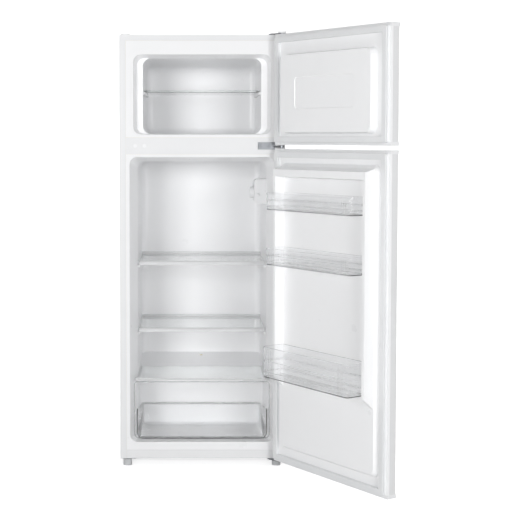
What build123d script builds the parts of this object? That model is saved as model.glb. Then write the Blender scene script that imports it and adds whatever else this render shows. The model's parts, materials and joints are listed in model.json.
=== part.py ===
from build123d import *
import math
import os

os.makedirs("parts", exist_ok=True)

# A free-standing top freezer refrigerator, in millimetres, +Z up, doors to -Y, hinges on the +X side.
# The pieces are drawn with X = 0 in the middle of the cabinet, Y = 0 on its front face and Z = 0 on
# the floor, both doors closed. They are written with both doors open, and with the origin under the
# middle of the front left foot.

# ---- cabinet ----
CABINET_WIDTH = 545.0
CABINET_DEPTH = 504.5
CABINET_TOP = 1431.0
CABINET_BOTTOM = 27.0
STEEL = 0.8
SIDE_FLANGE = 21.5
TOP_FLANGE = 19.0
LINER = 1.5
EVAPORATOR = 1.5
SEAM = 0.3
RUNNING_GAP = 0.3
HALF = CABINET_WIDTH / 2
INSIDE = HALF - STEEL
FLANGE_EDGE = HALF - SIDE_FLANGE
TRIM_EDGE = FLANGE_EDGE - SEAM

# ---- fresh food compartment ----
FRIDGE_MOUTH_INSET = 33.5
FRIDGE_WALL = 55.5
FRIDGE_SILL = 82.5
FRIDGE_LINTEL = 1031.0
FLARE_DEPTH = 90.0
FLOOR_STEP = 1.5
CEILING_DROP = 16.0
FRIDGE_DEPTH = 425.0
MOUTH_RADIUS = 25.0
BACK_RADIUS = 30.0
FRIDGE_MOUTH = HALF - FRIDGE_MOUTH_INSET
FRIDGE_HALF = HALF - FRIDGE_WALL
FRIDGE_FLOOR = FRIDGE_SILL + FLOOR_STEP
FRIDGE_CEILING = FRIDGE_LINTEL - CEILING_DROP

# ---- hump over the compressor bay ----
HUMP_FRONT = 275.0
HUMP_RISE = 40.0
HUMP_RADIUS = 25.0
BAY_FRONT = 335.0
BAY_INSULATION = 40.0
BAY_PLATE = 2.0
GROMMET_HEIGHT = 16.0
COMPRESSOR_SADDLE = 3.0
COMPRESSOR_HEIGHT = 140.0
TRAY_HEIGHT = 26.0
TRAY_ROOM = 18.0
TRAY_LOW = CABINET_BOTTOM + BAY_PLATE + GROMMET_HEIGHT + COMPRESSOR_SADDLE + COMPRESSOR_HEIGHT
BAY_TOP = TRAY_LOW + TRAY_HEIGHT + TRAY_ROOM
HUMP_TOP = BAY_TOP + BAY_INSULATION

# ---- freezer compartment ----
DIVIDER = 74.0
FREEZER_HEIGHT = 262.0
FREEZER_MOUTH_INSET = 46.5
FREEZER_LIP = 10.0
LEDGE_DEPTH = 38.0
LEDGE_WIDTH = 20.0
FREEZER_DEPTH = 400.0
FREEZER_FLOOR_STEP = 3.0
FREEZER_CEILING_DROP = 11.0
FREEZER_CEILING_SLOPE = 8.0
FREEZER_SILL = FRIDGE_LINTEL + DIVIDER
FREEZER_LINTEL = FREEZER_SILL + FREEZER_HEIGHT
FREEZER_MOUTH = HALF - FREEZER_MOUTH_INSET
LEDGE_OUTER = FREEZER_MOUTH - FREEZER_LIP
FREEZER_HALF = LEDGE_OUTER - LEDGE_WIDTH
FREEZER_FLOOR = FREEZER_SILL + FREEZER_FLOOR_STEP
FREEZER_CEILING = FREEZER_LINTEL - FREEZER_CEILING_DROP

# ---- evaporators ----
FRIDGE_EVAPORATOR_HALF = 180.0
FRIDGE_EVAPORATOR_ABOVE_HUMP = 130.0
FRIDGE_EVAPORATOR_BELOW_CEILING = 60.0
FREEZER_EVAPORATOR_MARGIN = 30.0
FREEZER_EVAPORATOR_BELOW_CEILING = 40.0

# ---- front rails ----
RAIL = 1.2
MIDDLE_RAIL_LOW = FRIDGE_LINTEL + 9.0
MIDDLE_RAIL_HIGH = FREEZER_SILL - 9.0
BOTTOM_RAIL_HIGH = FRIDGE_SILL - 26.5
RAIL_MIDDLE = (MIDDLE_RAIL_LOW + MIDDLE_RAIL_HIGH) / 2

# ---- doors ----
GASKET = 12.0
GASKET_GAP = 0.5
DOOR = 36.0
DOOR_GAP = 12.0
CAP = 12.0
CAP_PROUD = 2.5
SKIN = 0.7
SKIN_INSET = 0.5
LINER_EDGE = 8.0
DOOR_RADIUS = 8.0
DOOR_BACK = -GASKET
DOOR_FRONT = DOOR_BACK - DOOR
FREEZER_DOOR_LOW = RAIL_MIDDLE + DOOR_GAP / 2 - 3.0
FREEZER_DOOR_HIGH = CABINET_TOP - 1.5
FRIDGE_DOOR_HIGH = FREEZER_DOOR_LOW - DOOR_GAP
FRIDGE_DOOR_LOW = CABINET_BOTTOM + 2.5
GASKET_WIDTH = 19.0
GASKET_INSET = 9.0
OPEN_ANGLE = 124.0

# ---- door liners ----
FREEZER_PLATEAU = 26.0
FREEZER_PLATEAU_HALF = LEDGE_OUTER - 3.5
FREEZER_SUNK = 1.5
FREEZER_SUNK_HALF = 142.0
FREEZER_SUNK_HEIGHT = 104.0
PLATEAU = 14.0
PLATEAU_FOOT = FRIDGE_MOUTH - 1.0
PLATEAU_HALF = PLATEAU_FOOT - 14.0
DYKE = 34.0
DYKE_HALF = PLATEAU_HALF - 5.0
DYKE_CREST = 11.0
DYKE_DRAFT = 1.5
PLATEAU_LOW = FRIDGE_SILL + 2.0
PLATEAU_HIGH = FRIDGE_LINTEL - 17.0
DYKE_LOW = 292.0
DYKE_STEP = 30.0

# ---- hinge line ----
PIN_INSET = 13.0
PIN_DEPTH = 30.0
PIN_RADIUS = 4.0
PIN_CLEARANCE = 0.05
PIN_REACH = 10.0
BUSH_RADIUS = 7.0
BUSH_FLANGE_RADIUS = 9.0
BUSH_FLANGE = 1.0
BUSH_BLIND = 1.0
REST_GAP = 0.3
PLATE = 3.0
PLATE_NOSE = 10.0
PIN_X = HALF - PIN_INSET
PIN_Y = -PIN_DEPTH
PLUG_RADIUS = 6.0
HINGE_HOLES = (HALF - 52.5, HALF - 82.5)

# ---- grips in the door edges ----
GRIP_LENGTH = 140.0
GRIP_FROM_EDGE = 20.0
GRIP_DEPTH = 18.0
GRIP_WIDTH = 17.0
GRIP_NOTCH = 7.0
GRIP_WALL = 2.0
GRIP_BACK = 4.0

# ---- door racks ----
RACK_GAP = 1.0
RACK_WALL = 2.0
RACK_FLOOR = 2.5
RACK_RADIUS = 14.0
RACK_DEPTH = 77.0
BOTTLE_RACK_DEPTH = 87.0
RACK_HEIGHT = 54.0
BOTTLE_RACK_HEIGHT = 98.0
RACK_LOWS = (866.0, 690.0, 330.0)
RACK_BEAD = 1.5
LUG_RADIUS = 4.0
LUG_FROM_PANEL = 18.0
LUG_ABOVE_FLOOR = 30.0
RACK_FACE = DOOR_BACK + PLATEAU + RACK_DEPTH + RACK_BEAD
BOTTLE_RACK_FACE = DOOR_BACK + PLATEAU + BOTTLE_RACK_DEPTH + RACK_BEAD

# ---- shelves ----
SHELF_GAP = 3.0
SHELF_CLEARANCE = 4.5
SHELF_FRONT = BOTTLE_RACK_FACE + SHELF_CLEARANCE
SHELF_BACK = 385.0
GLASS = 4.0
SHELF_TOPS = (678.0, 450.0)
TRIM_HEIGHT = 14.0
TRIM_DEPTH = 12.0
RIB_HEIGHT = 8.0
RIB_WIDTH = 8.0
FREEZER_SHELF_TOP = 1250.0
FREEZER_SHELF_FRONT = 70.0
FREEZER_SHELF_BACK = 384.0

# ---- crisper ----
COVER_ABOVE_HUMP = 16.0
COVER_TOP = HUMP_TOP + COVER_ABOVE_HUMP
COVER_FRONT = 40.0
COVER_BACK = HUMP_FRONT - 7.0
DRAWER_FRONT = 35.0
DRAWER_WALL = 2.5
DRAWER_LOW = FRIDGE_FLOOR + RUNNING_GAP
DRAWER_HIGH = COVER_TOP - GLASS - 4.0
DRAWER_BACK = HUMP_FRONT - 15.0
DRAWER_RIM_FRONT = 186.0
DRAWER_RIM_BACK = 160.0
DRAWER_TAPER = 10.0
DRAWER_RADIUS = 24.0
DRAWER_RIBS = 5
DRAWER_RIB_SPACING = 74.0

# ---- thermostat and lamp ----
HOUSING_CLEARANCE = 9.5
HOUSING_FRONT = RACK_FACE + HOUSING_CLEARANCE
HOUSING_LENGTH = 80.0
HOUSING_WIDTH = 40.0
HOUSING_LOW = 873.0
HOUSING_HEIGHT = 82.0
HOUSING_WALL = 2.0
LAMP_COVER_LENGTH = 45.0
KNOB_RADIUS = 21.0
KNOB_HEIGHT = 14.0
KNOB_FROM_FRONT = 40.0
BUTTON_RADIUS = 4.0
BUTTON_FROM_WALL = 27.0
BUTTON_UP = 31.0
BUTTON_SHORT = 0.4

# ---- feet and rollers ----
FOOT_RADIUS = 14.5
FOOT_INSET = 23.5
FOOT_BEHIND = 25.0
FOOT_HEIGHT = 22.0
STEM_RADIUS = 5.0
FOOT_GROOVES = 16
ROLLER_RADIUS = 12.0
ROLLER_WIDTH = 16.0
ROLLER_INSET = 32.0
ROLLER_FROM_BACK = 30.0
AXLE_RADIUS = 3.0
FOOT_X = HALF - FOOT_INSET

# ---- refrigerating plant ----
COMPRESSOR_X = 70.0
COMPRESSOR_LENGTH = 190.0
COMPRESSOR_WIDTH = 132.0
GROMMET_RADIUS = 11.0
GROMMET_SPACING_X = 170.0
GROMMET_SPACING_Y = 100.0
PIPE_RADIUS = 3.2
CONDENSER_RADIUS = 2.4
CONDENSER_RUNS = 8
CONDENSER_PITCH = 50.0
TRAY_WALL = 1.5
TRAY_HALF = 62.0
TRAY_TO_DRAIN = 85.0
TRAY_TO_PIPES = 60.0
TRAY_RADIUS = 14.0
DRAIN_DIP = 12.0
DRAIN_RADIUS = 6.0
DRIER_X = -150.0
DRIER_BEHIND = 30.0
DRIER_LOW = 96.0
DRIER_RADIUS = 9.0
DRIER_LENGTH = 80.0
DRIER_NECK = 16.0
PIPE_LOW = 62.0
POT_CORNER = 14.0
COVER_LENGTH = 36.0
COVER_HALF = 30.0
COVER_HEIGHT = 62.0
COVER_WALL = 2.0
COVER_ABOVE_SADDLE = 24.0
INLET_UP = 16.0
INLET_RADIUS = 6.0
DRAIN_BORE = 4.5
BAY_Y = (BAY_FRONT + CABINET_DEPTH) / 2


# ---- helpers ----
def block(x, y, z):
    """A box between two values on each axis."""
    size = [b - a for a, b in (x, y, z)]
    middle = [(a + b) / 2 for a, b in (x, y, z)]
    return Pos(*middle) * Box(*size)


def prism_x(points, x0, x1):
    """A (y, z) outline, from x0 to x1."""
    face = make_face(Polyline(*[(x0, y, z) for y, z in points], close=True))
    return extrude(face, amount=x1 - x0, dir=(1, 0, 0))


def prism_y(points, y0, y1):
    """An (x, z) outline, from y0 to y1."""
    face = make_face(Polyline(*[(x, y0, z) for x, z in points], close=True))
    return extrude(face, amount=y1 - y0, dir=(0, 1, 0))


def prism_z(points, z0, z1):
    """An (x, y) outline, from z0 to z1."""
    face = make_face(Polyline(*[(x, y, z0) for x, y in points], close=True))
    return extrude(face, amount=z1 - z0, dir=(0, 0, 1))


def section(half, z0, z1, radius, y):
    """A rounded rectangle that stands across Y."""
    plane = Plane(origin=(0, y, (z0 + z1) / 2), x_dir=(1, 0, 0), z_dir=(0, -1, 0))
    return plane * RectangleRounded(2 * half, z1 - z0, radius)


def rod(x, y, z, radius, length, direction=(0, 0, 1)):
    """A round bar that starts at a point and runs along a direction."""
    return Plane(origin=(x, y, z), z_dir=direction) * Cylinder(
        radius, length, align=(Align.CENTER, Align.CENTER, Align.MIN)
    )


def tube_along(points, bend, radius):
    """A round bar along straight runs joined by bends."""
    path = FilletPolyline(*points, radius=bend)
    start = Plane(origin=path @ 0, z_dir=path % 0)
    return sweep(start * Circle(radius), path=path)


def both_sides(right):
    """The right-hand piece and its mirror image."""
    return [right, mirror(right, about=Plane.YZ)]


def at_origin(shape):
    return Pos(FOOT_X, -FOOT_BEHIND, 0) * shape


def opened(shape):
    """A door piece, swung about the hinge line from closed to open."""
    return Pos(PIN_X, PIN_Y, 0) * Rot(0, 0, OPEN_ANGLE) * Pos(-PIN_X, -PIN_Y, 0) * shape


def write(name, *shapes, door=False):
    """One STEP file for a node, from all the solids of its shapes."""
    solids = []
    for shape in shapes:
        solids += at_origin(opened(shape) if door else shape).solids()
    export_step(Compound(solids), f"parts/{name}.step")


# ---- cabinet walls ----
def mitre_above():
    """The corner of the front flange that belongs to the top panel."""
    return prism_y(
        [(FLANGE_EDGE, CABINET_TOP - TOP_FLANGE), (HALF, CABINET_TOP), (FLANGE_EDGE, CABINET_TOP)],
        -1.0,
        STEEL,
    )


def side_panel():
    sheet = prism_z(
        [
            (HALF, 0),
            (FLANGE_EDGE, 0),
            (FLANGE_EDGE, STEEL),
            (INSIDE, STEEL),
            (INSIDE, CABINET_DEPTH),
            (HALF, CABINET_DEPTH),
        ],
        CABINET_BOTTOM,
        CABINET_TOP - STEEL,
    )
    return sheet - mitre_above()


def top_panel():
    sheet = prism_x(
        [
            (0, CABINET_TOP),
            (0, CABINET_TOP - TOP_FLANGE),
            (STEEL, CABINET_TOP - TOP_FLANGE),
            (STEEL, CABINET_TOP - STEEL),
            (CABINET_DEPTH, CABINET_TOP - STEEL),
            (CABINET_DEPTH, CABINET_TOP),
        ],
        -HALF,
        HALF,
    )
    under = prism_y(
        [
            (FLANGE_EDGE, CABINET_TOP - TOP_FLANGE),
            (HALF, CABINET_TOP - TOP_FLANGE),
            (HALF, CABINET_TOP),
        ],
        -1.0,
        STEEL,
    )
    for corner in both_sides(under):
        sheet = sheet - corner
    for x, y in top_screws():
        sheet = sheet - rod(x, y, CABINET_TOP - 10, PLUG_RADIUS / 2, 20)
    return sheet


def back_panel():
    return block(
        (-INSIDE, INSIDE), (CABINET_DEPTH - STEEL, CABINET_DEPTH), (BAY_TOP, CABINET_TOP - STEEL)
    )


def compressor_bay_panel():
    return prism_x(
        [
            (BAY_FRONT - STEEL, CABINET_BOTTOM + BAY_PLATE),
            (BAY_FRONT, CABINET_BOTTOM + BAY_PLATE),
            (BAY_FRONT, BAY_TOP - STEEL),
            (CABINET_DEPTH, BAY_TOP - STEEL),
            (CABINET_DEPTH, BAY_TOP),
            (BAY_FRONT - STEEL, BAY_TOP),
        ],
        -INSIDE,
        INSIDE,
    ) - rod(0, drain_y(), BAY_TOP - 5, DRAIN_RADIUS, 10)


def base_panel():
    sheet = block(
        (-INSIDE, INSIDE), (RAIL, BAY_FRONT - STEEL), (CABINET_BOTTOM, CABINET_BOTTOM + STEEL)
    )
    for x, y in bottom_screws():
        for side in (-x, x):
            sheet = sheet - rod(side, y, CABINET_BOTTOM - 1, PLUG_RADIUS / 2, 10)
    return sheet


def rail(low, high):
    return block((-TRIM_EDGE, TRIM_EDGE), (0, RAIL), (low, high))


def middle_rail():
    plate = rail(MIDDLE_RAIL_LOW + SEAM, MIDDLE_RAIL_HIGH - SEAM)
    for x in HINGE_HOLES:
        for side in (-x, x):
            plate = plate - rod(side, -1, RAIL_MIDDLE, PLUG_RADIUS / 2, 10, (0, 1, 0))
    return plate


# ---- compartments ----
def hump(grow):
    """The sloping block of wall over the compressor bay, set back by grow."""
    far = FRIDGE_DEPTH + 20
    low = FRIDGE_FLOOR - 20
    rise = HUMP_RISE * (far - HUMP_FRONT) / (FRIDGE_DEPTH - HUMP_FRONT)
    front, top = HUMP_FRONT + grow, HUMP_TOP - grow
    solid = prism_x(
        [(front, low), (far, low), (far, top + rise), (front, top)],
        -HALF,
        HALF,
    )
    crest = solid.edges().filter_by(Axis.X).sort_by_distance((0, front, top))[0]
    return fillet(crest, HUMP_RADIUS - grow)


def fridge_room(grow):
    """The space inside the fresh food compartment, grown outwards."""
    half, depth = FRIDGE_HALF + grow, FRIDGE_DEPTH + grow
    low, high = FRIDGE_FLOOR - grow, FRIDGE_CEILING + grow
    radius = MOUTH_RADIUS + grow
    mouth = section(FRIDGE_MOUTH + grow, FRIDGE_SILL - grow, FRIDGE_LINTEL + grow, radius, 0)
    throat = section(half, low, high, radius, FLARE_DEPTH)
    room = block((-half, half), (FLARE_DEPTH, depth), (low, high))
    room = fillet(room.edges().filter_by(Axis.Y), radius)
    room = fillet(room.faces().sort_by(Axis.Y)[-1].edges(), radius - 1)
    return loft([mouth, throat]) + room - hump(grow)


def freezer_room(grow):
    """The space inside the freezer, grown outwards, with its ledges beside the mouth."""
    radius = MOUTH_RADIUS + grow
    low, high = FREEZER_FLOOR - grow, FREEZER_CEILING + grow
    depth, half = FREEZER_DEPTH + grow, FREEZER_HALF + grow
    mouth = section(FREEZER_MOUTH + grow, FREEZER_SILL - grow, FREEZER_LINTEL + grow, radius, 0)
    step = section(LEDGE_OUTER + grow, low, high, radius, LEDGE_DEPTH + grow)
    front = section(half, low, high, radius, LEDGE_DEPTH)
    back = section(half, low, high - FREEZER_CEILING_SLOPE, radius, depth)
    room = loft([front, back])
    room = fillet(room.faces().sort_by(Axis.Y)[-1].edges(), BACK_RADIUS - 8)
    return loft([mouth, step]) + room


def flange(low, high):
    return block((-TRIM_EDGE, TRIM_EDGE), (0, LINER), (low, high))


def drain_y():
    return FRIDGE_DEPTH - 25


def rib(half, y0, y1, top):
    """A shelf rib on the right-hand wall of a liner."""
    wide = block((half - RIB_WIDTH, half + LINER / 2), (y0, y1), (top - RIB_HEIGHT, top))
    ends = wide.edges().filter_by(Axis.Z).sort_by(Axis.X)[:2]
    return fillet(ends, RIB_WIDTH - 1)


def fridge_liner():
    shell = fridge_room(LINER) + flange(BOTTOM_RAIL_HIGH + SEAM, MIDDLE_RAIL_LOW)
    shell = shell - fridge_room(0) - block((-HALF, HALF), (-10, 0), (0, CABINET_TOP))
    for top in SHELF_TOPS:
        support = rib(FRIDGE_HALF, SHELF_FRONT + 5, SHELF_BACK + 10, top - TRIM_HEIGHT)
        for piece in both_sides(support):
            shell = shell + piece
    ledge = rib(FRIDGE_HALF, FLARE_DEPTH - 30, COVER_BACK, COVER_TOP - GLASS)
    ledge = ledge + block(
        (FRIDGE_HALF - RIB_WIDTH + 2, FRIDGE_HALF + 8),
        (FLARE_DEPTH - 24, FLARE_DEPTH),
        (COVER_TOP - GLASS - RIB_HEIGHT, COVER_TOP - GLASS),
    )
    for piece in both_sides(ledge & fridge_room(LINER / 2)):
        shell = shell + piece
    return shell - rod(0, drain_y(), BAY_TOP, DRAIN_RADIUS, 200)


def freezer_liner():
    shell = freezer_room(LINER) + flange(MIDDLE_RAIL_HIGH, CABINET_TOP - TOP_FLANGE - SEAM)
    shell = shell - freezer_room(0)
    top = FREEZER_SHELF_TOP - GLASS
    for piece in both_sides(rib(FREEZER_HALF, FREEZER_SHELF_FRONT - 5, FREEZER_SHELF_BACK - 10, top)):
        shell = shell + piece
    return shell


def fridge_evaporator():
    y = FRIDGE_DEPTH + LINER
    half = FRIDGE_EVAPORATOR_HALF
    low = HUMP_TOP + FRIDGE_EVAPORATOR_ABOVE_HUMP
    return block((-half, half), (y, y + EVAPORATOR), (low, FRIDGE_CEILING - FRIDGE_EVAPORATOR_BELOW_CEILING))


def freezer_evaporator():
    y = FREEZER_DEPTH + LINER
    half = FREEZER_HALF - FREEZER_EVAPORATOR_MARGIN
    low = FREEZER_FLOOR + FREEZER_EVAPORATOR_MARGIN
    return block(
        (-half, half), (y, y + EVAPORATOR), (low, FREEZER_CEILING - FREEZER_EVAPORATOR_BELOW_CEILING)
    )


def cabinet_insulation():
    """Foam round the compartments, as slabs that meet face to face."""
    back = CABINET_DEPTH - STEEL
    wall, mouth = FRIDGE_HALF + LINER, FRIDGE_MOUTH + LINER
    floor, ceiling = FRIDGE_SILL - LINER, FRIDGE_CEILING + LINER
    bottom, bay_face = CABINET_BOTTOM + STEEL, BAY_FRONT - STEEL
    cold_floor = FREEZER_FLOOR - LINER
    cold_top = FREEZER_CEILING + LINER
    cold_back = cold_top - FREEZER_CEILING_SLOPE
    ledge = LEDGE_DEPTH + LINER
    cold_wall, cold_mouth = FREEZER_HALF + LINER, FREEZER_MOUTH + LINER
    plan = [(INSIDE, LINER), (mouth, LINER), (wall, FLARE_DEPTH)]
    side_low = prism_z(plan + [(wall, bay_face), (INSIDE, bay_face)], bottom, BAY_TOP)
    side_high = prism_z(plan + [(wall, back), (INSIDE, back)], BAY_TOP, ceiling)
    cold_side_front = prism_z(
        [(INSIDE, LINER), (cold_mouth, LINER), (LEDGE_OUTER + LINER, ledge), (INSIDE, ledge)],
        cold_floor,
        cold_back,
    )
    cold_side = block((cold_wall, INSIDE), (ledge, back), (cold_floor, cold_back))
    sides = []
    for slab in (side_low, side_high - condenser_pocket(), cold_side_front, cold_side):
        sides += both_sides(slab)
    half_plan = [(mouth, LINER), (wall, FLARE_DEPTH), (wall, bay_face)]
    base = prism_z(half_plan + [(-x, y) for x, y in reversed(half_plan)], bottom, floor)
    front_wall = block(
        (-wall, wall), (HUMP_FRONT + LINER, bay_face), (floor, BAY_TOP)
    )
    hump_top = hump(LINER) & block(
        (-wall, wall), (HUMP_FRONT, FRIDGE_DEPTH + LINER), (BAY_TOP, CABINET_TOP)
    )
    fridge_back = block(
        (-wall, wall), (FRIDGE_DEPTH + LINER + EVAPORATOR, back), (BAY_TOP, ceiling)
    )
    divider = prism_x(
        [
            (LINER, FRIDGE_LINTEL + LINER),
            (FLARE_DEPTH, ceiling),
            (back, ceiling),
            (back, cold_floor),
            (ledge, cold_floor),
            (LINER, FREEZER_SILL - LINER),
        ],
        -INSIDE,
        INSIDE,
    )
    roof = prism_x(
        [
            (LINER, FREEZER_LINTEL + LINER),
            (ledge, cold_top),
            (FREEZER_DEPTH + LINER, cold_back),
            (back, cold_back),
            (back, CABINET_TOP - STEEL),
            (LINER, CABINET_TOP - STEEL),
        ],
        -INSIDE,
        INSIDE,
    )
    freezer_back = block(
        (-cold_wall, cold_wall),
        (FREEZER_DEPTH + LINER + EVAPORATOR, back),
        (cold_floor, cold_back),
    )
    drain = rod(0, drain_y(), BAY_TOP - 1, DRAIN_RADIUS, 200)
    for x in HINGE_HOLES:
        for side in (-x, x):
            divider = divider - rod(side, 0, RAIL_MIDDLE, PLUG_RADIUS / 2, 14, (0, 1, 0))
    for x, y in top_screws():
        roof = roof - rod(x, y, CABINET_TOP - 14, PLUG_RADIUS / 2, 20)
    for x, y in bottom_screws():
        right, left = both_sides(rod(x, y, bottom - 1, PLUG_RADIUS / 2, 12))
        base = base - right - left
        sides[0] = sides[0] - right
        sides[1] = sides[1] - left
    return sides + [base, front_wall, hump_top - drain, fridge_back, divider, roof, freezer_back]


# ---- doors ----
def slot_profile(half, front, back, low, high):
    """A slab with rounded upright edges at the front."""
    slab = block((-half, half), (front, back), (low, high))
    return fillet(slab.edges().filter_by(Axis.Z).group_by(Axis.Y)[0], DOOR_RADIUS)


def door_skin(low, high):
    half = HALF - SKIN_INSET
    outer = slot_profile(half, DOOR_FRONT, DOOR_BACK - LINER_EDGE, low + CAP, high - CAP)
    inner = block(
        (-half + SKIN, half - SKIN),
        (DOOR_FRONT + SKIN, 0),
        (low, high),
    )
    inner = fillet(inner.edges().filter_by(Axis.Z).group_by(Axis.Y)[0], DOOR_RADIUS - SKIN)
    return outer - inner


def grip_range():
    x = -HALF + GRIP_FROM_EDGE
    return x, x + GRIP_LENGTH


def grip_y():
    back = DOOR_BACK - GRIP_BACK
    return back - GRIP_WIDTH, back


def door_cap(low, high, grip_from=None):
    """An end cap. With a grip it has a finger trough that opens at grip_from."""
    cap = slot_profile(HALF, DOOR_FRONT - CAP_PROUD, DOOR_BACK, low, high)
    if grip_from is None:
        return cap
    up = 1 if grip_from == high else -1
    (x0, x1), (y0, y1) = grip_range(), grip_y()
    deep = grip_from - up * (CAP + GRIP_DEPTH)
    wall = GRIP_WALL
    pocket_z = sorted((grip_from - up * CAP, deep))
    cap = cap + block((x0 - wall, x1 + wall), (y0 - wall, y1 + wall), pocket_z)
    trough_z = sorted((grip_from + up, deep + up * wall))
    cap = cap - block((x0, x1), (y0, y1), trough_z)
    notch_z = sorted((grip_from + up, grip_from - up * GRIP_NOTCH))
    return cap - block((x0, x1), (DOOR_FRONT - CAP_PROUD - 1, y1), notch_z)


def freezer_plateau(grow):
    """The raised part of the freezer door's liner, set in by grow."""
    low, high = FREEZER_SILL + 2 + grow, FREEZER_LINTEL - 5 - grow
    foot = FREEZER_PLATEAU_HALF + 5 - grow
    top = FREEZER_PLATEAU_HALF - grow
    back = section(foot, low, high, 24, DOOR_BACK - grow)
    face = section(top, low + 5, high - 5, 20, DOOR_BACK + FREEZER_PLATEAU - grow)
    return loft([back, face])


def freezer_sink(grow):
    """The shallow panel sunk in the middle of the freezer door's liner."""
    half = FREEZER_SUNK_HALF + grow
    middle = (FREEZER_SILL + FREEZER_LINTEL) / 2
    low, high = middle - FREEZER_SUNK_HEIGHT / 2 - grow, middle + FREEZER_SUNK_HEIGHT / 2 + grow
    face = DOOR_BACK + FREEZER_PLATEAU
    outer = section(half, low, high, 14, face + 1)
    inner = section(half - 3, low + 3, high - 3, 11, face - FREEZER_SUNK - grow)
    return loft([outer, inner])


def fridge_plateau(grow):
    low, high = PLATEAU_LOW + grow, PLATEAU_HIGH - grow
    back = section(PLATEAU_FOOT - grow, low, high, 24, DOOR_BACK - grow)
    face = section(PLATEAU_HALF - grow, low + 9, high - 10, 20, DOOR_BACK + PLATEAU - grow)
    return loft([back, face])


def side_dyke(grow):
    """The right-hand dyke of the fridge door's liner."""
    panel = DOOR_BACK + PLATEAU - grow
    crest = DOOR_BACK + PLATEAU + DYKE - grow
    inner = DYKE_HALF - DYKE_CREST
    bar = prism_z(
        [
            (PLATEAU_HALF - grow, panel),
            (DYKE_HALF - grow, crest),
            (inner + grow, crest),
            (inner - DYKE_DRAFT + grow, panel),
        ],
        DYKE_LOW,
        PLATEAU_HIGH - 10 - grow,
    )
    above = prism_x(
        [
            (panel, DYKE_LOW + grow),
            (crest, DYKE_LOW + DYKE_STEP + grow),
            (crest + 1, DYKE_LOW + DYKE_STEP + grow),
            (crest + 1, PLATEAU_HIGH - 20 - grow),
            (crest, PLATEAU_HIGH - 20 - grow),
            (panel, PLATEAU_HIGH - 10 - grow),
        ],
        0,
        HALF,
    )
    return bar & above


def top_dyke(grow):
    panel = DOOR_BACK + PLATEAU - grow
    crest = DOOR_BACK + PLATEAU + DYKE - grow
    high = PLATEAU_HIGH - 10 - grow
    bar = prism_x(
        [
            (panel, high),
            (crest, high - 10),
            (crest, high - 10 - 2 * DYKE_CREST + 2 * grow),
            (panel, high - 14 - 2 * DYKE_CREST + 2 * grow),
        ],
        -HALF,
        HALF,
    )
    wide = prism_z(
        [
            (-PLATEAU_HALF + grow, panel),
            (PLATEAU_HALF - grow, panel),
            (DYKE_HALF - grow, crest),
            (-DYKE_HALF + grow, crest),
        ],
        high - 60,
        high,
    )
    return bar & wide


def liner_flange(low, high):
    """The flat face and edge of a door's liner."""
    half = HALF - SKIN_INSET
    plate = block((-half, half), (DOOR_BACK - LINER_EDGE, DOOR_BACK), (low + CAP, high - CAP))
    inside = block(
        (-half + LINER, half - LINER), (DOOR_BACK - LINER_EDGE, DOOR_BACK - LINER), (low, high)
    )
    return plate - inside


def lug_places():
    y = DOOR_BACK + PLATEAU + LUG_FROM_PANEL
    return [(y, low + LUG_ABOVE_FLOOR) for low in RACK_LOWS]


def rack_half():
    return DYKE_HALF - DYKE_CREST - DYKE_DRAFT - RACK_GAP


def freezer_door_liner():
    skin = liner_flange(FREEZER_DOOR_LOW, FREEZER_DOOR_HIGH)
    skin = skin + freezer_plateau(0) - freezer_sink(0)
    return skin - (freezer_plateau(LINER) - freezer_sink(LINER))


def fridge_door_liner():
    skin = liner_flange(FRIDGE_DOOR_LOW, FRIDGE_DOOR_HIGH) + fridge_plateau(0) + top_dyke(0)
    for dyke in both_sides(side_dyke(0)):
        skin = skin + dyke
    skin = skin - fridge_plateau(LINER) - top_dyke(LINER)
    for dyke in both_sides(side_dyke(LINER)):
        skin = skin - dyke
    tip = rack_half() - RACK_WALL - 1
    for y, z in lug_places():
        length = DYKE_HALF - DYKE_CREST - tip + LINER / 2
        for lug in both_sides(rod(tip, y, z, LUG_RADIUS, length, (1, 0, 0))):
            skin = skin + lug
    return skin


def door_insulation(low, high, grip_from, raised):
    """A door's foam: the flat slab, a strip beside the grip, and what fills the liner."""
    half = HALF - SKIN_INSET - LINER
    y = (DOOR_FRONT + SKIN, DOOR_BACK - LINER)
    top = grip_from == high
    deep = CAP + GRIP_DEPTH + 1
    slab_z = (low + CAP, high - deep) if top else (low + deep, high - CAP)
    strip_z = (high - deep, high - CAP) if top else (low + CAP, low + deep)
    strip_x = grip_range()[1] + GRIP_WALL + 1
    slab = block((-half, half), y, slab_z)
    slab = fillet(slab.edges().filter_by(Axis.Z).group_by(Axis.Y)[0], DOOR_RADIUS)
    return [slab, block((strip_x, half - DOOR_RADIUS), y, strip_z)] + raised


def freezer_door_insulation():
    core = freezer_plateau(LINER) - freezer_sink(LINER)
    core = core - block((-HALF, HALF), (DOOR_FRONT, DOOR_BACK - LINER), (0, CABINET_TOP))
    return door_insulation(FREEZER_DOOR_LOW, FREEZER_DOOR_HIGH, FREEZER_DOOR_LOW, [core])


def fridge_door_insulation():
    raised = [fridge_plateau(LINER), top_dyke(LINER)]
    raised += [dyke - top_dyke(LINER) for dyke in both_sides(side_dyke(LINER))]
    return door_insulation(FRIDGE_DOOR_LOW, FRIDGE_DOOR_HIGH, FRIDGE_DOOR_HIGH, raised)


def gasket(low, high):
    """Four magnetic strips, mitred at the corners."""
    a, b = HALF - GASKET_INSET, HALF - GASKET_INSET - GASKET_WIDTH
    c, d = low + GASKET_INSET, high - GASKET_INSET
    e, f = c + GASKET_WIDTH, d - GASKET_WIDTH
    y = (DOOR_BACK, -GASKET_GAP)
    bottom = prism_y([(-a, c), (a, c), (b, e), (-b, e)], *y)
    top = prism_y([(-a, d), (-b, f), (b, f), (a, d)], *y)
    right = prism_y([(a, c), (a, d), (b, f), (b, e)], *y)
    return [bottom, top] + both_sides(right)


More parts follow.
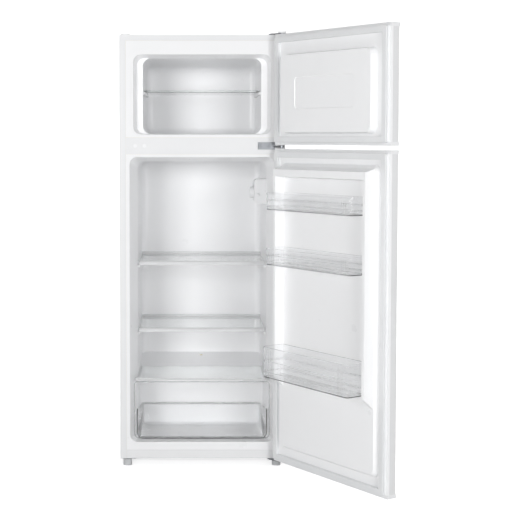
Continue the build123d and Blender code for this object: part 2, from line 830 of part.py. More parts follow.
def bush(end, up):
    """A flanged sleeve let into an end cap, with its mouth at the cap's outer face."""
    away = (0, 0, 1) if up else (0, 0, -1)
    into = (0, 0, -1) if up else (0, 0, 1)
    sleeve = rod(PIN_X, PIN_Y, end, BUSH_RADIUS, CAP - BUSH_BLIND, into)
    sleeve = sleeve + rod(PIN_X, PIN_Y, end, BUSH_FLANGE_RADIUS, BUSH_FLANGE, away)
    start = end + (BUSH_FLANGE + 1) * (1 if up else -1)
    return sleeve - rod(PIN_X, PIN_Y, start, PIN_RADIUS + PIN_CLEARANCE, 2 * CAP, into)


def bush_hole(end, up):
    into = (0, 0, -1) if up else (0, 0, 1)
    return rod(PIN_X, PIN_Y, end, BUSH_RADIUS, CAP - BUSH_BLIND, into)


# ---- hinges ----
def top_screws():
    return [(HALF - 42, 16), (HALF - 14, 16), (HALF - 28, 46)]


def bottom_screws():
    return [(HALF - 46, 56), (HALF - 12, 56)]


def hinge_plate(low, back, width=50.0):
    """A flat plate from behind the front edge to a round nose at the pin."""
    outer = HALF - 4
    plate = prism_z(
        [
            (PIN_X + PLATE_NOSE, PIN_Y),
            (outer, 0),
            (outer, back),
            (outer - width, back),
            (outer - width, 0),
            (PIN_X - PLATE_NOSE, PIN_Y),
        ],
        low,
        low + PLATE,
    )
    return plate + rod(PIN_X, PIN_Y, low, PLATE_NOSE, PLATE)


def pin(z0, z1):
    return rod(PIN_X, PIN_Y, z0, PIN_RADIUS, z1 - z0)


def collar(z0, z1):
    return rod(PIN_X, PIN_Y, z0, BUSH_FLANGE_RADIUS - 1, z1 - z0)


def top_hinge():
    plate = hinge_plate(CABINET_TOP, 60)
    for x, y in top_screws():
        plate = plate - rod(x, y, CABINET_TOP - 1, PLUG_RADIUS / 2, 10)
    return plate + pin(FREEZER_DOOR_HIGH - PIN_REACH, CABINET_TOP + PLATE)


def middle_hinge():
    low = RAIL_MIDDLE - PLATE / 2 - 3
    arm = hinge_plate(low, 0.1, 38.0) - block((0, HALF), (0, 1), (0, CABINET_TOP))
    face = block(
        (HINGE_HOLES[1] - 7, HALF - 33), (-PLATE, 0), (RAIL_MIDDLE - 12, RAIL_MIDDLE + 12)
    )
    for x in HINGE_HOLES:
        face = face - rod(x, -PLATE - 1, RAIL_MIDDLE, PLUG_RADIUS / 2, 10, (0, 1, 0))
    stop = collar(low + PLATE, FREEZER_DOOR_LOW - BUSH_FLANGE - REST_GAP)
    return arm + face + stop + pin(FRIDGE_DOOR_HIGH - PIN_REACH, FREEZER_DOOR_LOW + PIN_REACH)


def bottom_hinge():
    low = CABINET_BOTTOM - PLATE
    plate = hinge_plate(low, 70) - rod(FOOT_X, FOOT_BEHIND, low - 1, STEM_RADIUS + RUNNING_GAP, 10)
    for x, y in bottom_screws():
        plate = plate - rod(x, y, low - 1, PLUG_RADIUS / 2, 10)
    stop = collar(CABINET_BOTTOM, FRIDGE_DOOR_LOW - BUSH_FLANGE - REST_GAP)
    return plate + stop + pin(low, FRIDGE_DOOR_LOW + PIN_REACH)


def foot_bracket():
    """The left-hand bracket, which holds the other front foot."""
    low = CABINET_BOTTOM - PLATE
    plate = block((-HALF + 4, -HALF + 54), (8, 70), (low, CABINET_BOTTOM))
    plate = plate - rod(-FOOT_X, FOOT_BEHIND, low - 1, STEM_RADIUS + RUNNING_GAP, 10)
    for x, y in bottom_screws():
        plate = plate - rod(-x, y, low - 1, PLUG_RADIUS / 2, 10)
    return plate


def screw(x, y, z, direction, length):
    """A pan-head screw with a cross recess. The point is under its head."""
    axis = Plane(origin=(x, y, z), z_dir=direction)
    head = axis * Cylinder(PLUG_RADIUS - 1, 2.4, align=(Align.CENTER, Align.CENTER, Align.MIN))
    above = axis.from_local_coords((0, 0, 9))
    rim = head.edges().filter_by(GeomType.CIRCLE).sort_by_distance(above)[0]
    head = fillet(rim, 1.0)
    shank = axis * Pos(0, 0, -length) * Cylinder(
        PLUG_RADIUS / 2 - 0.2, length, align=(Align.CENTER, Align.CENTER, Align.MIN)
    )
    cross = axis * Pos(0, 0, 2.0) * (Box(1, 5, 1.6) + Box(5, 1, 1.6))
    return head + shank - cross


def hinge_screws():
    made = [screw(x, y, CABINET_TOP + PLATE, (0, 0, 1), 12) for x, y in top_screws()]
    made += [screw(x, -PLATE, RAIL_MIDDLE, (0, -1, 0), 12) for x in HINGE_HOLES]
    for x, y in bottom_screws():
        for side in (-x, x):
            made.append(screw(side, y, CABINET_BOTTOM - PLATE, (0, 0, -1), 10))
    return made


def hole_plugs():
    """Caps over the spare hinge holes on the left."""
    made = []
    for x in HINGE_HOLES:
        head = rod(-x, 0, RAIL_MIDDLE, PLUG_RADIUS, 1.5, (0, -1, 0))
        made.append(head + rod(-x, 0, RAIL_MIDDLE, PLUG_RADIUS / 2 - 0.2, 8, (0, 1, 0)))
    return made


def corner_cap():
    cap = block((-HALF + 6, -HALF + 34), (4, 46), (CABINET_TOP, CABINET_TOP + 4))
    return fillet(cap.edges().filter_by(Axis.Z), 8)


def top_hinge_cover():
    low = CABINET_TOP + PLATE
    cover = block((PIN_X - 12, HALF), (PIN_Y - 9, 6), (low, low + 5.5))
    return fillet(cover.edges().filter_by(Axis.Z), 6)


# ---- things that lift or slide out ----
def shelf_glass(top):
    half = FRIDGE_HALF - SHELF_GAP
    inset = 1.5
    return block(
        (-half + inset, half - inset),
        (SHELF_FRONT + 4, SHELF_BACK - 4),
        (top - 2 - GLASS, top - 2),
    )


def shelf_trims(top):
    half = FRIDGE_HALF - SHELF_GAP
    slot = shelf_glass(top)
    front = block((-half, half), (SHELF_FRONT, SHELF_FRONT + TRIM_DEPTH), (top - TRIM_HEIGHT, top))
    front = fillet(front.edges().filter_by(Axis.X).group_by(Axis.Y)[0], 2.5)
    back = block((-half, half), (SHELF_BACK - TRIM_DEPTH, SHELF_BACK), (top - TRIM_HEIGHT, top + 6))
    back = fillet(back.edges().filter_by(Axis.X).group_by(Axis.Z)[-1], 1.5)
    back = back - block(
        (-half, half), (SHELF_BACK - TRIM_DEPTH - 1, SHELF_BACK - 5), (top, top + 10)
    )
    return [front - slot, back - slot]


def freezer_shelf():
    half = FREEZER_HALF - SHELF_GAP
    low, high = FREEZER_SHELF_TOP - GLASS, FREEZER_SHELF_TOP
    plate = block((-half, half), (FREEZER_SHELF_FRONT, FREEZER_SHELF_BACK), (low, high))
    bead = block(
        (-half, half),
        (FREEZER_SHELF_FRONT - 4, FREEZER_SHELF_FRONT + 5),
        (low - 1.5, high + 2.5),
    )
    bead = fillet(bead.edges().filter_by(Axis.X), 1.2)
    over = both_sides(rib(FREEZER_HALF, FREEZER_SHELF_FRONT - 8, FREEZER_SHELF_BACK, low))
    return plate + bead - over[0] - over[1]


def wall_at(y):
    """Half the width between the fridge's side walls at a depth."""
    share = min(y / FLARE_DEPTH, 1.0)
    return FRIDGE_MOUTH + (FRIDGE_HALF - FRIDGE_MOUTH) * share


def crisper_cover():
    gap = SHELF_GAP
    right = [
        (wall_at(COVER_FRONT) - gap, COVER_FRONT),
        (FRIDGE_HALF - gap, FLARE_DEPTH),
        (FRIDGE_HALF - gap, COVER_BACK),
    ]
    outline = right + [(-x, y) for x, y in reversed(right)]
    glass = prism_z(outline, COVER_TOP - GLASS, COVER_TOP)
    return fillet(glass.edges().filter_by(Axis.Z).group_by(Axis.Y)[0], 6)


def crisper_drawer():
    face_half = wall_at(DRAWER_FRONT) - 2.5
    wall = DRAWER_WALL
    face = block(
        (-face_half, face_half), (DRAWER_FRONT, DRAWER_FRONT + wall), (DRAWER_LOW, DRAWER_HIGH)
    )
    upright = face.edges().filter_by(Axis.Y)
    face = fillet(upright.group_by(Axis.Z)[0], 20)
    face = fillet(face.edges().filter_by(Axis.Y).group_by(Axis.Z)[-1], 12)
    joint = DRAWER_FRONT + wall

    def tub(inset, low, high):
        near = wall_at(joint + 10) - 9 - inset
        waist = FRIDGE_HALF - SHELF_GAP - inset
        far = waist - DRAWER_TAPER
        right = [(near, joint - 0.5), (waist, FLARE_DEPTH), (far, DRAWER_BACK - inset)]
        return prism_z(right + [(-x, y) for x, y in reversed(right)], low, high)

    def rounded(solid, radius):
        solid = fillet(solid.edges().filter_by(Axis.Z).group_by(Axis.Y)[-1], radius)
        side_edges = solid.faces().sort_by(Axis.Z)[0].edges().filter_by(
            lambda edge: edge.center().Y > joint + 1
        )
        return fillet(side_edges, radius)

    outer = rounded(tub(0, DRAWER_LOW, DRAWER_RIM_FRONT), DRAWER_RADIUS)
    inner = rounded(tub(wall, DRAWER_LOW + wall, DRAWER_HIGH), DRAWER_RADIUS - wall)
    slope = prism_x(
        [
            (joint, DRAWER_RIM_FRONT),
            (DRAWER_BACK + 1, DRAWER_RIM_BACK),
            (DRAWER_BACK + 1, DRAWER_HIGH),
            (joint, DRAWER_HIGH),
        ],
        -HALF,
        HALF,
    )
    box = outer - inner - slope
    drawer = face + box
    for n in range(DRAWER_RIBS):
        x = (n - (DRAWER_RIBS - 1) / 2) * DRAWER_RIB_SPACING
        low = DRAWER_LOW + wall - 0.5
        ridge = block((x - 9, x + 9), (joint + 14, joint + 44), (low, low + 2))
        drawer = drawer + fillet(ridge.edges().filter_by(Axis.Z), 8)
    return drawer


def rack(low, height, depth):
    """A clear rack, open at the top, that hangs on a lug at each end."""
    half = rack_half()
    back = DOOR_BACK + PLATEAU + RACK_GAP
    front = back + depth - RACK_GAP
    outer = block((-half, half), (back, front), (low, low + height))
    outer = fillet(outer.edges().filter_by(Axis.Z).group_by(Axis.Y)[-1], RACK_RADIUS)
    bead = block((-half, half), (back, front + RACK_BEAD), (low + height - 6, low + height))
    bead = fillet(bead.edges().filter_by(Axis.Z).group_by(Axis.Y)[-1], RACK_RADIUS)
    belt_low = low + 0.55 * height
    belt = block((-half, half), (back, front + RACK_BEAD / 2), (belt_low, belt_low + 3))
    belt = fillet(belt.edges().filter_by(Axis.Z).group_by(Axis.Y)[-1], RACK_RADIUS)
    wall = RACK_WALL
    inner = block(
        (-half + wall, half - wall), (back + wall, front - wall), (low + RACK_FLOOR, low + height + 1)
    )
    inner = fillet(inner.edges().filter_by(Axis.Z).group_by(Axis.Y)[-1], RACK_RADIUS - wall)
    made = outer + bead + belt - inner
    y, z = DOOR_BACK + PLATEAU + LUG_FROM_PANEL, low + LUG_ABOVE_FLOOR
    width = LUG_RADIUS + RUNNING_GAP
    slot = block((-HALF, HALF), (y - width, y + width), (low - 1, z))
    slot = slot + rod(-HALF, y, z, width, 2 * HALF, (1, 0, 0))
    inside = half - 2 * wall
    keep = block((-inside, inside), (back - 1, front + 3), (low - 2, low + height + 1))
    return made - (slot - keep)


# ---- thermostat and lamp ----
def housing_shell(y0, y1, low, high):
    """A hollow cover on the right-hand wall, open towards it."""
    inner_x = FRIDGE_HALF - HOUSING_WIDTH
    outer = block((inner_x, FRIDGE_HALF), (y0, y1), (low, high))
    outer = fillet(outer.edges().filter_by(Axis.Y).group_by(Axis.X)[0], 12)
    wall = HOUSING_WALL
    inner = block(
        (inner_x + wall, FRIDGE_HALF + 1), (y0 + wall, y1 - wall), (low + wall, high - wall)
    )
    inner = fillet(inner.edges().filter_by(Axis.Y).group_by(Axis.X)[0], 12 - wall)
    return outer - inner


def knob_place():
    return (
        FRIDGE_HALF - HOUSING_WIDTH,
        HOUSING_FRONT + KNOB_FROM_FRONT,
        HOUSING_LOW + HOUSING_HEIGHT / 2 - 4,
    )


def thermostat_housing():
    shell = housing_shell(
        HOUSING_FRONT, HOUSING_FRONT + HOUSING_LENGTH, HOUSING_LOW, HOUSING_LOW + HOUSING_HEIGHT
    )
    x, y, z = knob_place()
    shell = shell - rod(x - 1, y, z, PIN_RADIUS + RUNNING_GAP, HOUSING_WALL + 2, (1, 0, 0))
    button = rod(
        FRIDGE_HALF - BUTTON_FROM_WALL,
        HOUSING_FRONT - 1,
        HOUSING_LOW + BUTTON_UP,
        BUTTON_RADIUS + RUNNING_GAP,
        HOUSING_WALL + 2,
        (0, 1, 0),
    )
    return shell - button


def lamp_cover():
    start = HOUSING_FRONT + HOUSING_LENGTH
    low, high = HOUSING_LOW + 8, HOUSING_LOW + HOUSING_HEIGHT - 8
    return housing_shell(start, start + LAMP_COVER_LENGTH, low, high)


def lamp_bulb():
    start = HOUSING_FRONT + HOUSING_LENGTH + HOUSING_WALL
    x, z = FRIDGE_HALF - HOUSING_WIDTH / 2, HOUSING_LOW + HOUSING_HEIGHT / 2
    base = rod(x, start, z, 7, 14, (0, 1, 0))
    return base + Pos(x, start + 22, z) * Sphere(11)


def thermostat_knob():
    x, y, z = knob_place()
    face = x - RUNNING_GAP
    knob = rod(face, y, z, KNOB_RADIUS, KNOB_HEIGHT - 6, (-1, 0, 0))
    reach = KNOB_RADIUS - 4
    grip = block((face - KNOB_HEIGHT, face - 4), (y - 4, y + 4), (z - reach, z + reach))
    grip = fillet(grip.edges().filter_by(Axis.X), 3)
    shaft = rod(face - 1, y, z, PIN_RADIUS, HOUSING_WALL + 10, (1, 0, 0))
    collar_x = x + HOUSING_WALL + RUNNING_GAP
    return knob + grip + shaft + rod(collar_x, y, z, PIN_RADIUS + 2, 2, (1, 0, 0))


def door_switch_button():
    """Its tip ends just short of the closed door's upper rack."""
    x, z = FRIDGE_HALF - BUTTON_FROM_WALL, HOUSING_LOW + BUTTON_UP
    tip = RACK_FACE + BUTTON_SHORT
    inside = HOUSING_FRONT + HOUSING_WALL + RUNNING_GAP
    stem = rod(x, tip, z, BUTTON_RADIUS, inside + 4 - tip, (0, 1, 0))
    stem = fillet(stem.edges().sort_by(Axis.Y)[0], 1.5)
    return stem + rod(x, inside, z, BUTTON_RADIUS + 2, 3, (0, 1, 0))


# ---- feet and rollers ----
def foot(side):
    pad = rod(side * FOOT_X, FOOT_BEHIND, 0, FOOT_RADIUS, FOOT_HEIGHT)
    pad = fillet(pad.edges().sort_by(Axis.Z)[-1], 2)
    for n in range(FOOT_GROOVES):
        angle = 2 * math.pi * n / FOOT_GROOVES
        x = side * FOOT_X + (FOOT_RADIUS + 0.3) * math.cos(angle)
        y = FOOT_BEHIND + (FOOT_RADIUS + 0.3) * math.sin(angle)
        pad = pad - rod(x, y, 3, 1.4, FOOT_HEIGHT)
    stem = CABINET_BOTTOM - FOOT_HEIGHT + 0.6
    return pad + rod(side * FOOT_X, FOOT_BEHIND, FOOT_HEIGHT - 1, STEM_RADIUS, stem)


def roller_place():
    return HALF - ROLLER_INSET, CABINET_DEPTH - ROLLER_FROM_BACK


def roller(side):
    x, y = roller_place()
    start = side * x - ROLLER_WIDTH / 2
    wheel = rod(start, y, ROLLER_RADIUS, ROLLER_RADIUS, ROLLER_WIDTH, (1, 0, 0))
    wheel = fillet(wheel.edges(), 1.5)
    return wheel - rod(start - 1, y, ROLLER_RADIUS, AXLE_RADIUS + 0.05, ROLLER_WIDTH + 2, (1, 0, 0))


def roller_bracket():
    """A saddle with two ears over the right-hand roller."""
    x, y = roller_place()
    inner = ROLLER_WIDTH / 2 + 1
    outer = inner + 2
    low = ROLLER_RADIUS - 6
    saddle = block((x - outer, x + outer), (y - 12, y + 12), (CABINET_BOTTOM - 2, CABINET_BOTTOM))
    for start in (x - outer, x + inner):
        saddle = saddle + block((start, start + 2), (y - 8, y + 8), (low, CABINET_BOTTOM))
    return saddle - rod(x - 20, y, ROLLER_RADIUS, AXLE_RADIUS, 40, (1, 0, 0))


def roller_axle():
    x, y = roller_place()
    reach = ROLLER_WIDTH / 2 + 4
    return rod(x - reach, y, ROLLER_RADIUS, AXLE_RADIUS, 2 * reach, (1, 0, 0))


# ---- refrigerating plant ----
def compressor_base():
    return block(
        (-INSIDE, INSIDE),
        (BAY_FRONT - STEEL, CABINET_DEPTH),
        (CABINET_BOTTOM, CABINET_BOTTOM + BAY_PLATE),
    )


def grommet_places():
    return [
        (COMPRESSOR_X + i * GROMMET_SPACING_X / 2, BAY_Y + j * GROMMET_SPACING_Y / 2)
        for i in (-1, 1)
        for j in (-1, 1)
    ]


def compressor_low():
    return CABINET_BOTTOM + BAY_PLATE + GROMMET_HEIGHT


def pot_end(side):
    """The compressor pot's left (-1) or right (1) end."""
    return COMPRESSOR_X + side * (COMPRESSOR_LENGTH / 2 - POT_CORNER)


def compressor_grommets():
    low = CABINET_BOTTOM + BAY_PLATE
    made = []
    for x, y in grommet_places():
        body = rod(x, y, low, GROMMET_RADIUS, GROMMET_HEIGHT)
        waist = rod(x, y, low + 6, GROMMET_RADIUS + 1, 4) - rod(x, y, low + 5, GROMMET_RADIUS - 2.5, 6)
        made.append(body - waist)
    return made


def mount_bolts():
    low = compressor_low() + COMPRESSOR_SADDLE
    made = []
    for x, y in grommet_places():
        made.append(Pos(x, y, low) * extrude(RegularPolygon(6.5, 6), amount=5))
    return made


def compressor():
    low = compressor_low()
    saddle = block(
        (COMPRESSOR_X - GROMMET_SPACING_X / 2 - 14, COMPRESSOR_X + GROMMET_SPACING_X / 2 + 14),
        (BAY_Y - GROMMET_SPACING_Y / 2 - 13, BAY_Y + GROMMET_SPACING_Y / 2 + 13),
        (low, low + COMPRESSOR_SADDLE),
    )
    saddle = fillet(saddle.edges().filter_by(Axis.Z), 12)
    half_width = COMPRESSOR_WIDTH / 2
    seam = low + 0.55 * COMPRESSOR_HEIGHT
    base = low + COMPRESSOR_SADDLE
    x = (pot_end(-1), pot_end(1))
    y = (BAY_Y - half_width, BAY_Y + half_width)
    pot = block(x, y, (base, base + COMPRESSOR_HEIGHT))
    pot = fillet(pot.edges().filter_by(Axis.Z), half_width - 8)
    pot = fillet(pot.faces().sort_by(Axis.Z)[-1].edges(), 34)
    pot = fillet(pot.faces().sort_by(Axis.Z)[0].edges(), 16)
    band = block((x[0] - 2, x[1] + 2), (y[0] - 2, y[1] + 2), (seam, seam + 5))
    band = fillet(band.edges().filter_by(Axis.Z), half_width - 6)
    return saddle + pot + band


def terminal_cover():
    """The box over the compressor's terminals, with the hole for the power lead."""
    x, low = pot_end(-1), compressor_low() + COVER_ABOVE_SADDLE
    half, wall = COVER_HALF, COVER_WALL
    box = block((x - COVER_LENGTH, x), (BAY_Y - half, BAY_Y + half), (low, low + COVER_HEIGHT))
    box = fillet(box.edges().filter_by(Axis.X), 5)
    box = box - block(
        (x - COVER_LENGTH + wall, x + 1),
        (BAY_Y - half + wall, BAY_Y + half - wall),
        (low + wall, low + COVER_HEIGHT - wall),
    )
    return box - rod(x - COVER_LENGTH - 1, BAY_Y, low + INLET_UP, INLET_RADIUS, wall + 2, (1, 0, 0))


def cord_inlet():
    """The grommet where the power lead enters the terminal box."""
    x = pot_end(-1) - COVER_LENGTH
    z = compressor_low() + COVER_ABOVE_SADDLE + INLET_UP
    ring = rod(x - 3, BAY_Y, z, INLET_RADIUS + 2, 3, (1, 0, 0))
    ring = ring + rod(x, BAY_Y, z, INLET_RADIUS, COVER_WALL, (1, 0, 0))
    return ring - rod(x - 5, BAY_Y, z, INLET_RADIUS - 2, 10, (1, 0, 0))


def filter_drier():
    x, y, top = DRIER_X, BAY_Y + DRIER_BEHIND, DRIER_LOW + DRIER_LENGTH
    body = fillet(rod(x, y, DRIER_LOW, DRIER_RADIUS, DRIER_LENGTH).edges(), 4)
    neck = rod(x, y, DRIER_LOW - DRIER_NECK, PIPE_RADIUS - 0.2, DRIER_NECK)
    return body + neck + rod(x, y, top, 1.5, BAY_TOP - STEEL - top)


def refrigerant_pipes():
    """Discharge, suction and service pipes, and the one into the drier."""
    right = pot_end(1)
    z = compressor_low() + 50
    ceiling = BAY_TOP - STEEL
    suction = tube_along(
        [
            (right - 2, BAY_Y + 12, z + 30),
            (right + 34, BAY_Y + 12, z + 30),
            (right + 34, BAY_Y + 12, ceiling),
        ],
        16,
        PIPE_RADIUS,
    )
    discharge = tube_along(
        [
            (right - 2, BAY_Y - 14, z),
            (right + 60, BAY_Y - 14, z),
            (right + 60, BAY_Y - 14, ceiling),
        ],
        16,
        PIPE_RADIUS - 0.8,
    )
    service = tube_along(
        [(right - 2, BAY_Y + 14, z), (right + 44, BAY_Y + 14, z), (right + 44, BAY_Y + 54, z)],
        14,
        PIPE_RADIUS,
    )
    to_drier = tube_along(
        [
            (-INSIDE, BAY_Y + DRIER_BEHIND, PIPE_LOW),
            (DRIER_X, BAY_Y + DRIER_BEHIND, PIPE_LOW),
            (DRIER_X, BAY_Y + DRIER_BEHIND, DRIER_LOW - DRIER_NECK),
        ],
        10,
        CONDENSER_RADIUS,
    )
    return [suction - compressor(), discharge - compressor(), service - compressor(), to_drier]


def evaporation_tray():
    low, high = TRAY_LOW, TRAY_LOW + TRAY_HEIGHT
    x = (COMPRESSOR_X - TRAY_TO_DRAIN, COMPRESSOR_X + TRAY_TO_PIPES)
    y = (BAY_Y - TRAY_HALF, BAY_Y + TRAY_HALF)
    wall = TRAY_WALL
    tray = block(x, y, (low, high))
    tray = fillet(tray.edges().filter_by(Axis.Z), TRAY_RADIUS)
    room = block(
        (x[0] + wall, x[1] - wall), (y[0] + wall, y[1] - wall), (low + wall, high + 1)
    )
    return tray - fillet(room.edges().filter_by(Axis.Z), TRAY_RADIUS - wall)


def drain_tube():
    """From the gutter on the hump down to the tray over the compressor."""
    low = TRAY_LOW + DRAIN_DIP
    high = HUMP_TOP + HUMP_RISE * (drain_y() - HUMP_FRONT) / (FRIDGE_DEPTH - HUMP_FRONT) - 3
    return rod(0, drain_y(), low, DRAIN_RADIUS, high - low) - rod(0, drain_y(), low - 1, DRAIN_BORE, high)


def condenser_span():
    y0 = 60.0
    return y0, y0 + (CONDENSER_RUNS - 1) * CONDENSER_PITCH


def condenser_z():
    return BAY_TOP + 60, FRIDGE_CEILING - 40


def condenser_pocket():
    """The room behind a side panel for its condenser tube."""
    y0, y1 = condenser_span()
    z0, z1 = condenser_z()
    margin = CONDENSER_RADIUS + 1
    depth = 2 * CONDENSER_RADIUS + 0.2
    return block(
        (INSIDE - depth, INSIDE + 1), (y0 - margin, y1 + margin), (z0 - margin, z1 + margin)
    )


def condenser_tube():
    """A serpentine behind the right-hand side panel."""
    y0 = condenser_span()[0]
    z0, z1 = condenser_z()
    x = INSIDE - CONDENSER_RADIUS - 0.1
    points = []
    for n in range(CONDENSER_RUNS):
        y = y0 + n * CONDENSER_PITCH
        ends = (z0, z1) if n % 2 == 0 else (z1, z0)
        points += [(x, y, z) for z in ends]
    return tube_along(points, CONDENSER_PITCH / 2 - 1, CONDENSER_RADIUS)


# ---- the nodes ----
right_panel, left_panel = both_sides(side_panel())
write("side_panel_right", right_panel)
write("side_panel_left", left_panel)
write("top_panel", top_panel())
write("back_panel", back_panel())
write("compressor_bay_panel", compressor_bay_panel())
write("base_panel", base_panel())
write("bottom_rail", rail(CABINET_BOTTOM + STEEL, BOTTOM_RAIL_HIGH))
write("middle_rail", middle_rail())
write("cabinet_insulation", *cabinet_insulation())
write("fridge_liner", fridge_liner())
write("freezer_liner", freezer_liner())
write("evaporator_plates", fridge_evaporator(), freezer_evaporator())
write("condenser_tubes", *both_sides(condenser_tube()))

write("top_hinge", top_hinge())
write("middle_hinge", middle_hinge())
write("bottom_hinge", bottom_hinge())
write("foot_bracket", foot_bracket())
write("screws_and_bolts", *hinge_screws(), *mount_bolts())
write("hinge_hole_covers", *hole_plugs(), corner_cap(), top_hinge_cover())

write("thermostat_housing", thermostat_housing())
write("thermostat_knob", thermostat_knob())
write("lamp_cover", lamp_cover())
write("lamp_bulb", lamp_bulb())
write("door_switch_button", door_switch_button())

write("compressor_base", compressor_base())
write("compressor_grommets", *compressor_grommets())
write("compressor", compressor())
write("terminal_cover", terminal_cover())
write("cord_inlet", cord_inlet())
write("filter_drier", filter_drier())
write("refrigerant_pipes", *refrigerant_pipes())
write("evaporation_tray", evaporation_tray())
write("drain_tube", drain_tube())

write("front_left_foot", foot(-1))
write("front_right_foot", foot(1))
write("rear_left_roller", roller(-1))
write("rear_right_roller", roller(1))
write("roller_mounts", *both_sides(roller_bracket()), *both_sides(roller_axle()))

write("upper_shelf_glass", shelf_glass(SHELF_TOPS[0]))
write("upper_shelf_trims", *shelf_trims(SHELF_TOPS[0]))
write("lower_shelf_glass", shelf_glass(SHELF_TOPS[1]))
write("lower_shelf_trims", *shelf_trims(SHELF_TOPS[1]))
write("crisper_cover", crisper_cover())
write("crisper_drawer", crisper_drawer())
write("freezer_shelf", freezer_shelf())

for door_name, door_low, door_high in (
    ("freezer_door", FREEZER_DOOR_LOW, FREEZER_DOOR_HIGH),
    ("fridge_door", FRIDGE_DOOR_LOW, FRIDGE_DOOR_HIGH),
):
    grip_at = door_low if door_name == "freezer_door" else door_high
    lower_cap = door_cap(door_low, door_low + CAP, door_low if grip_at == door_low else None)
    upper_cap = door_cap(door_high - CAP, door_high, door_high if grip_at == door_high else None)
    caps = [lower_cap - bush_hole(door_low, False), upper_cap - bush_hole(door_high, True)]
    write(f"{door_name}_skin", door_skin(door_low, door_high), door=True)
    write(f"{door_name}_caps", *caps, door=True)
    write(f"{door_name}_gasket", *gasket(door_low, door_high), door=True)
    write(f"{door_name}_bushes", bush(door_low, False), bush(door_high, True), door=True)

write("freezer_door_liner", freezer_door_liner(), door=True)
write("freezer_door_insulation", *freezer_door_insulation(), door=True)
write("fridge_door_liner", fridge_door_liner(), door=True)
write("fridge_door_insulation", *fridge_door_insulation(), door=True)

write("upper_rack", rack(RACK_LOWS[0], RACK_HEIGHT, RACK_DEPTH), door=True)
write("middle_rack", rack(RACK_LOWS[1], RACK_HEIGHT, RACK_DEPTH), door=True)
write("bottle_rack", rack(RACK_LOWS[2], BOTTLE_RACK_HEIGHT, BOTTLE_RACK_DEPTH), door=True)
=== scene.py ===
"""The looks of a free-standing top freezer refrigerator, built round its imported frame."""

import json
import math

import bmesh
import bpy
from bpy.props import FloatProperty, FloatVectorProperty, IntProperty, PointerProperty
from mathutils import Matrix, Vector


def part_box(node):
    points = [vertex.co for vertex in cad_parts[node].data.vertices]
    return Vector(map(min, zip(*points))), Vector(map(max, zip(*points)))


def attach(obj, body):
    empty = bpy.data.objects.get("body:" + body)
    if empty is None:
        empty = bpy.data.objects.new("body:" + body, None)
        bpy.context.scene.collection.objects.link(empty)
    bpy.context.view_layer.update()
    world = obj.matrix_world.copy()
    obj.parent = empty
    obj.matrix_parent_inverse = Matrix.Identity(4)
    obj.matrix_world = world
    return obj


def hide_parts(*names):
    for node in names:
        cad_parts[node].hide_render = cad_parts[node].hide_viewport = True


bl_info = {
    "name": "Top Freezer Refrigerator",
    "version": (1, 0, 0),
    "blender": (4, 5, 0),
    "location": "View3D > Sidebar > Refrigerator",
    "description": "Finishes, seals, racks and trims of a refrigerator, and its studio",
    "category": "Object",
}

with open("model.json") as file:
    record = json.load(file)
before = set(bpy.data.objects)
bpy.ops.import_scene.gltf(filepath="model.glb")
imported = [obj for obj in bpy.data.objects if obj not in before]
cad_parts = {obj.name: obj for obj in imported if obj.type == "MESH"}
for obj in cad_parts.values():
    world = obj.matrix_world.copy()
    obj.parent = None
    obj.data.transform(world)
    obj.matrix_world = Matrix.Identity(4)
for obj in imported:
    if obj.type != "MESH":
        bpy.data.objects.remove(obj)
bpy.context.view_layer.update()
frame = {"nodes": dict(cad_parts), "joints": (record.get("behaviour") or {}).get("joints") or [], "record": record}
JOINTS = {joint["name"]: joint for joint in frame["joints"]}
SLOT_OF = {part["node"]: part["material_slot"] for part in frame["record"]["subparts"]}
MM = 0.001

SMALLEST_CORNER = 0.3 * MM
BEVEL_STEPS = 2
BAR_STEPS = 3


# ---- settings ----
def length(name, description, value):
    """A size in metres, given in millimetres."""
    return FloatProperty(
        name=name, description=description, default=value * MM, min=0.0, unit="LENGTH", precision=4
    )


def colour(name, description, value):
    return FloatVectorProperty(
        name=name, description=description, default=value, size=3, min=0.0, max=1.0, subtype="COLOR"
    )


class RefrigeratorColours(bpy.types.PropertyGroup):
    """Colours of the surfaces that show."""

    paint: colour("Paint", "Painted steel of the cabinet and the doors", (0.765, 0.77, 0.778))
    liner: colour("Liner", "Formed liners of the compartments and the doors", (0.93, 0.934, 0.943))
    plastic: colour("Plastic", "White moulded pieces", (0.84, 0.845, 0.855))
    seal: colour("Seal", "Door seals", (0.8, 0.81, 0.82))
    clear: colour("Clear plastic", "Racks, drawer and shelf trims", (0.986, 0.989, 0.992))
    glass: colour("Glass", "Shelf glass", (0.955, 0.975, 0.97))


class RefrigeratorSeals(bpy.types.PropertyGroup):
    """The hollow section of a door seal."""

    corner: length("Corner", "Radius of the outer corners", 5.0)
    fold: length("Fold", "How deep the bellows fold is", 2.6)
    bead: length("Bead", "Roundness of the magnetic bead", 1.4)


class RefrigeratorRacks(bpy.types.PropertyGroup):
    """The clear bins on the fridge door."""

    wall: length("Wall", "Thickness of the walls", 2.0)
    floor: length("Floor", "Thickness of the floor", 2.0)
    bead: length("Bead", "How far the rim stands proud of the walls", 1.5)
    corner: length("Corner", "Radius of the front corners", 14.0)
    lug_radius: length("Lug slot", "Half the width of the slot that drops over a lug", 4.3)
    lug_behind: length("Lug place", "From the back of the bin to the lug", 17.0)
    lug_above: length("Lug height", "From the bottom of the bin to the lug", 30.0)
    ribs: IntProperty(name="Ribs", description="Stiffening ribs along the front", default=3, min=1)


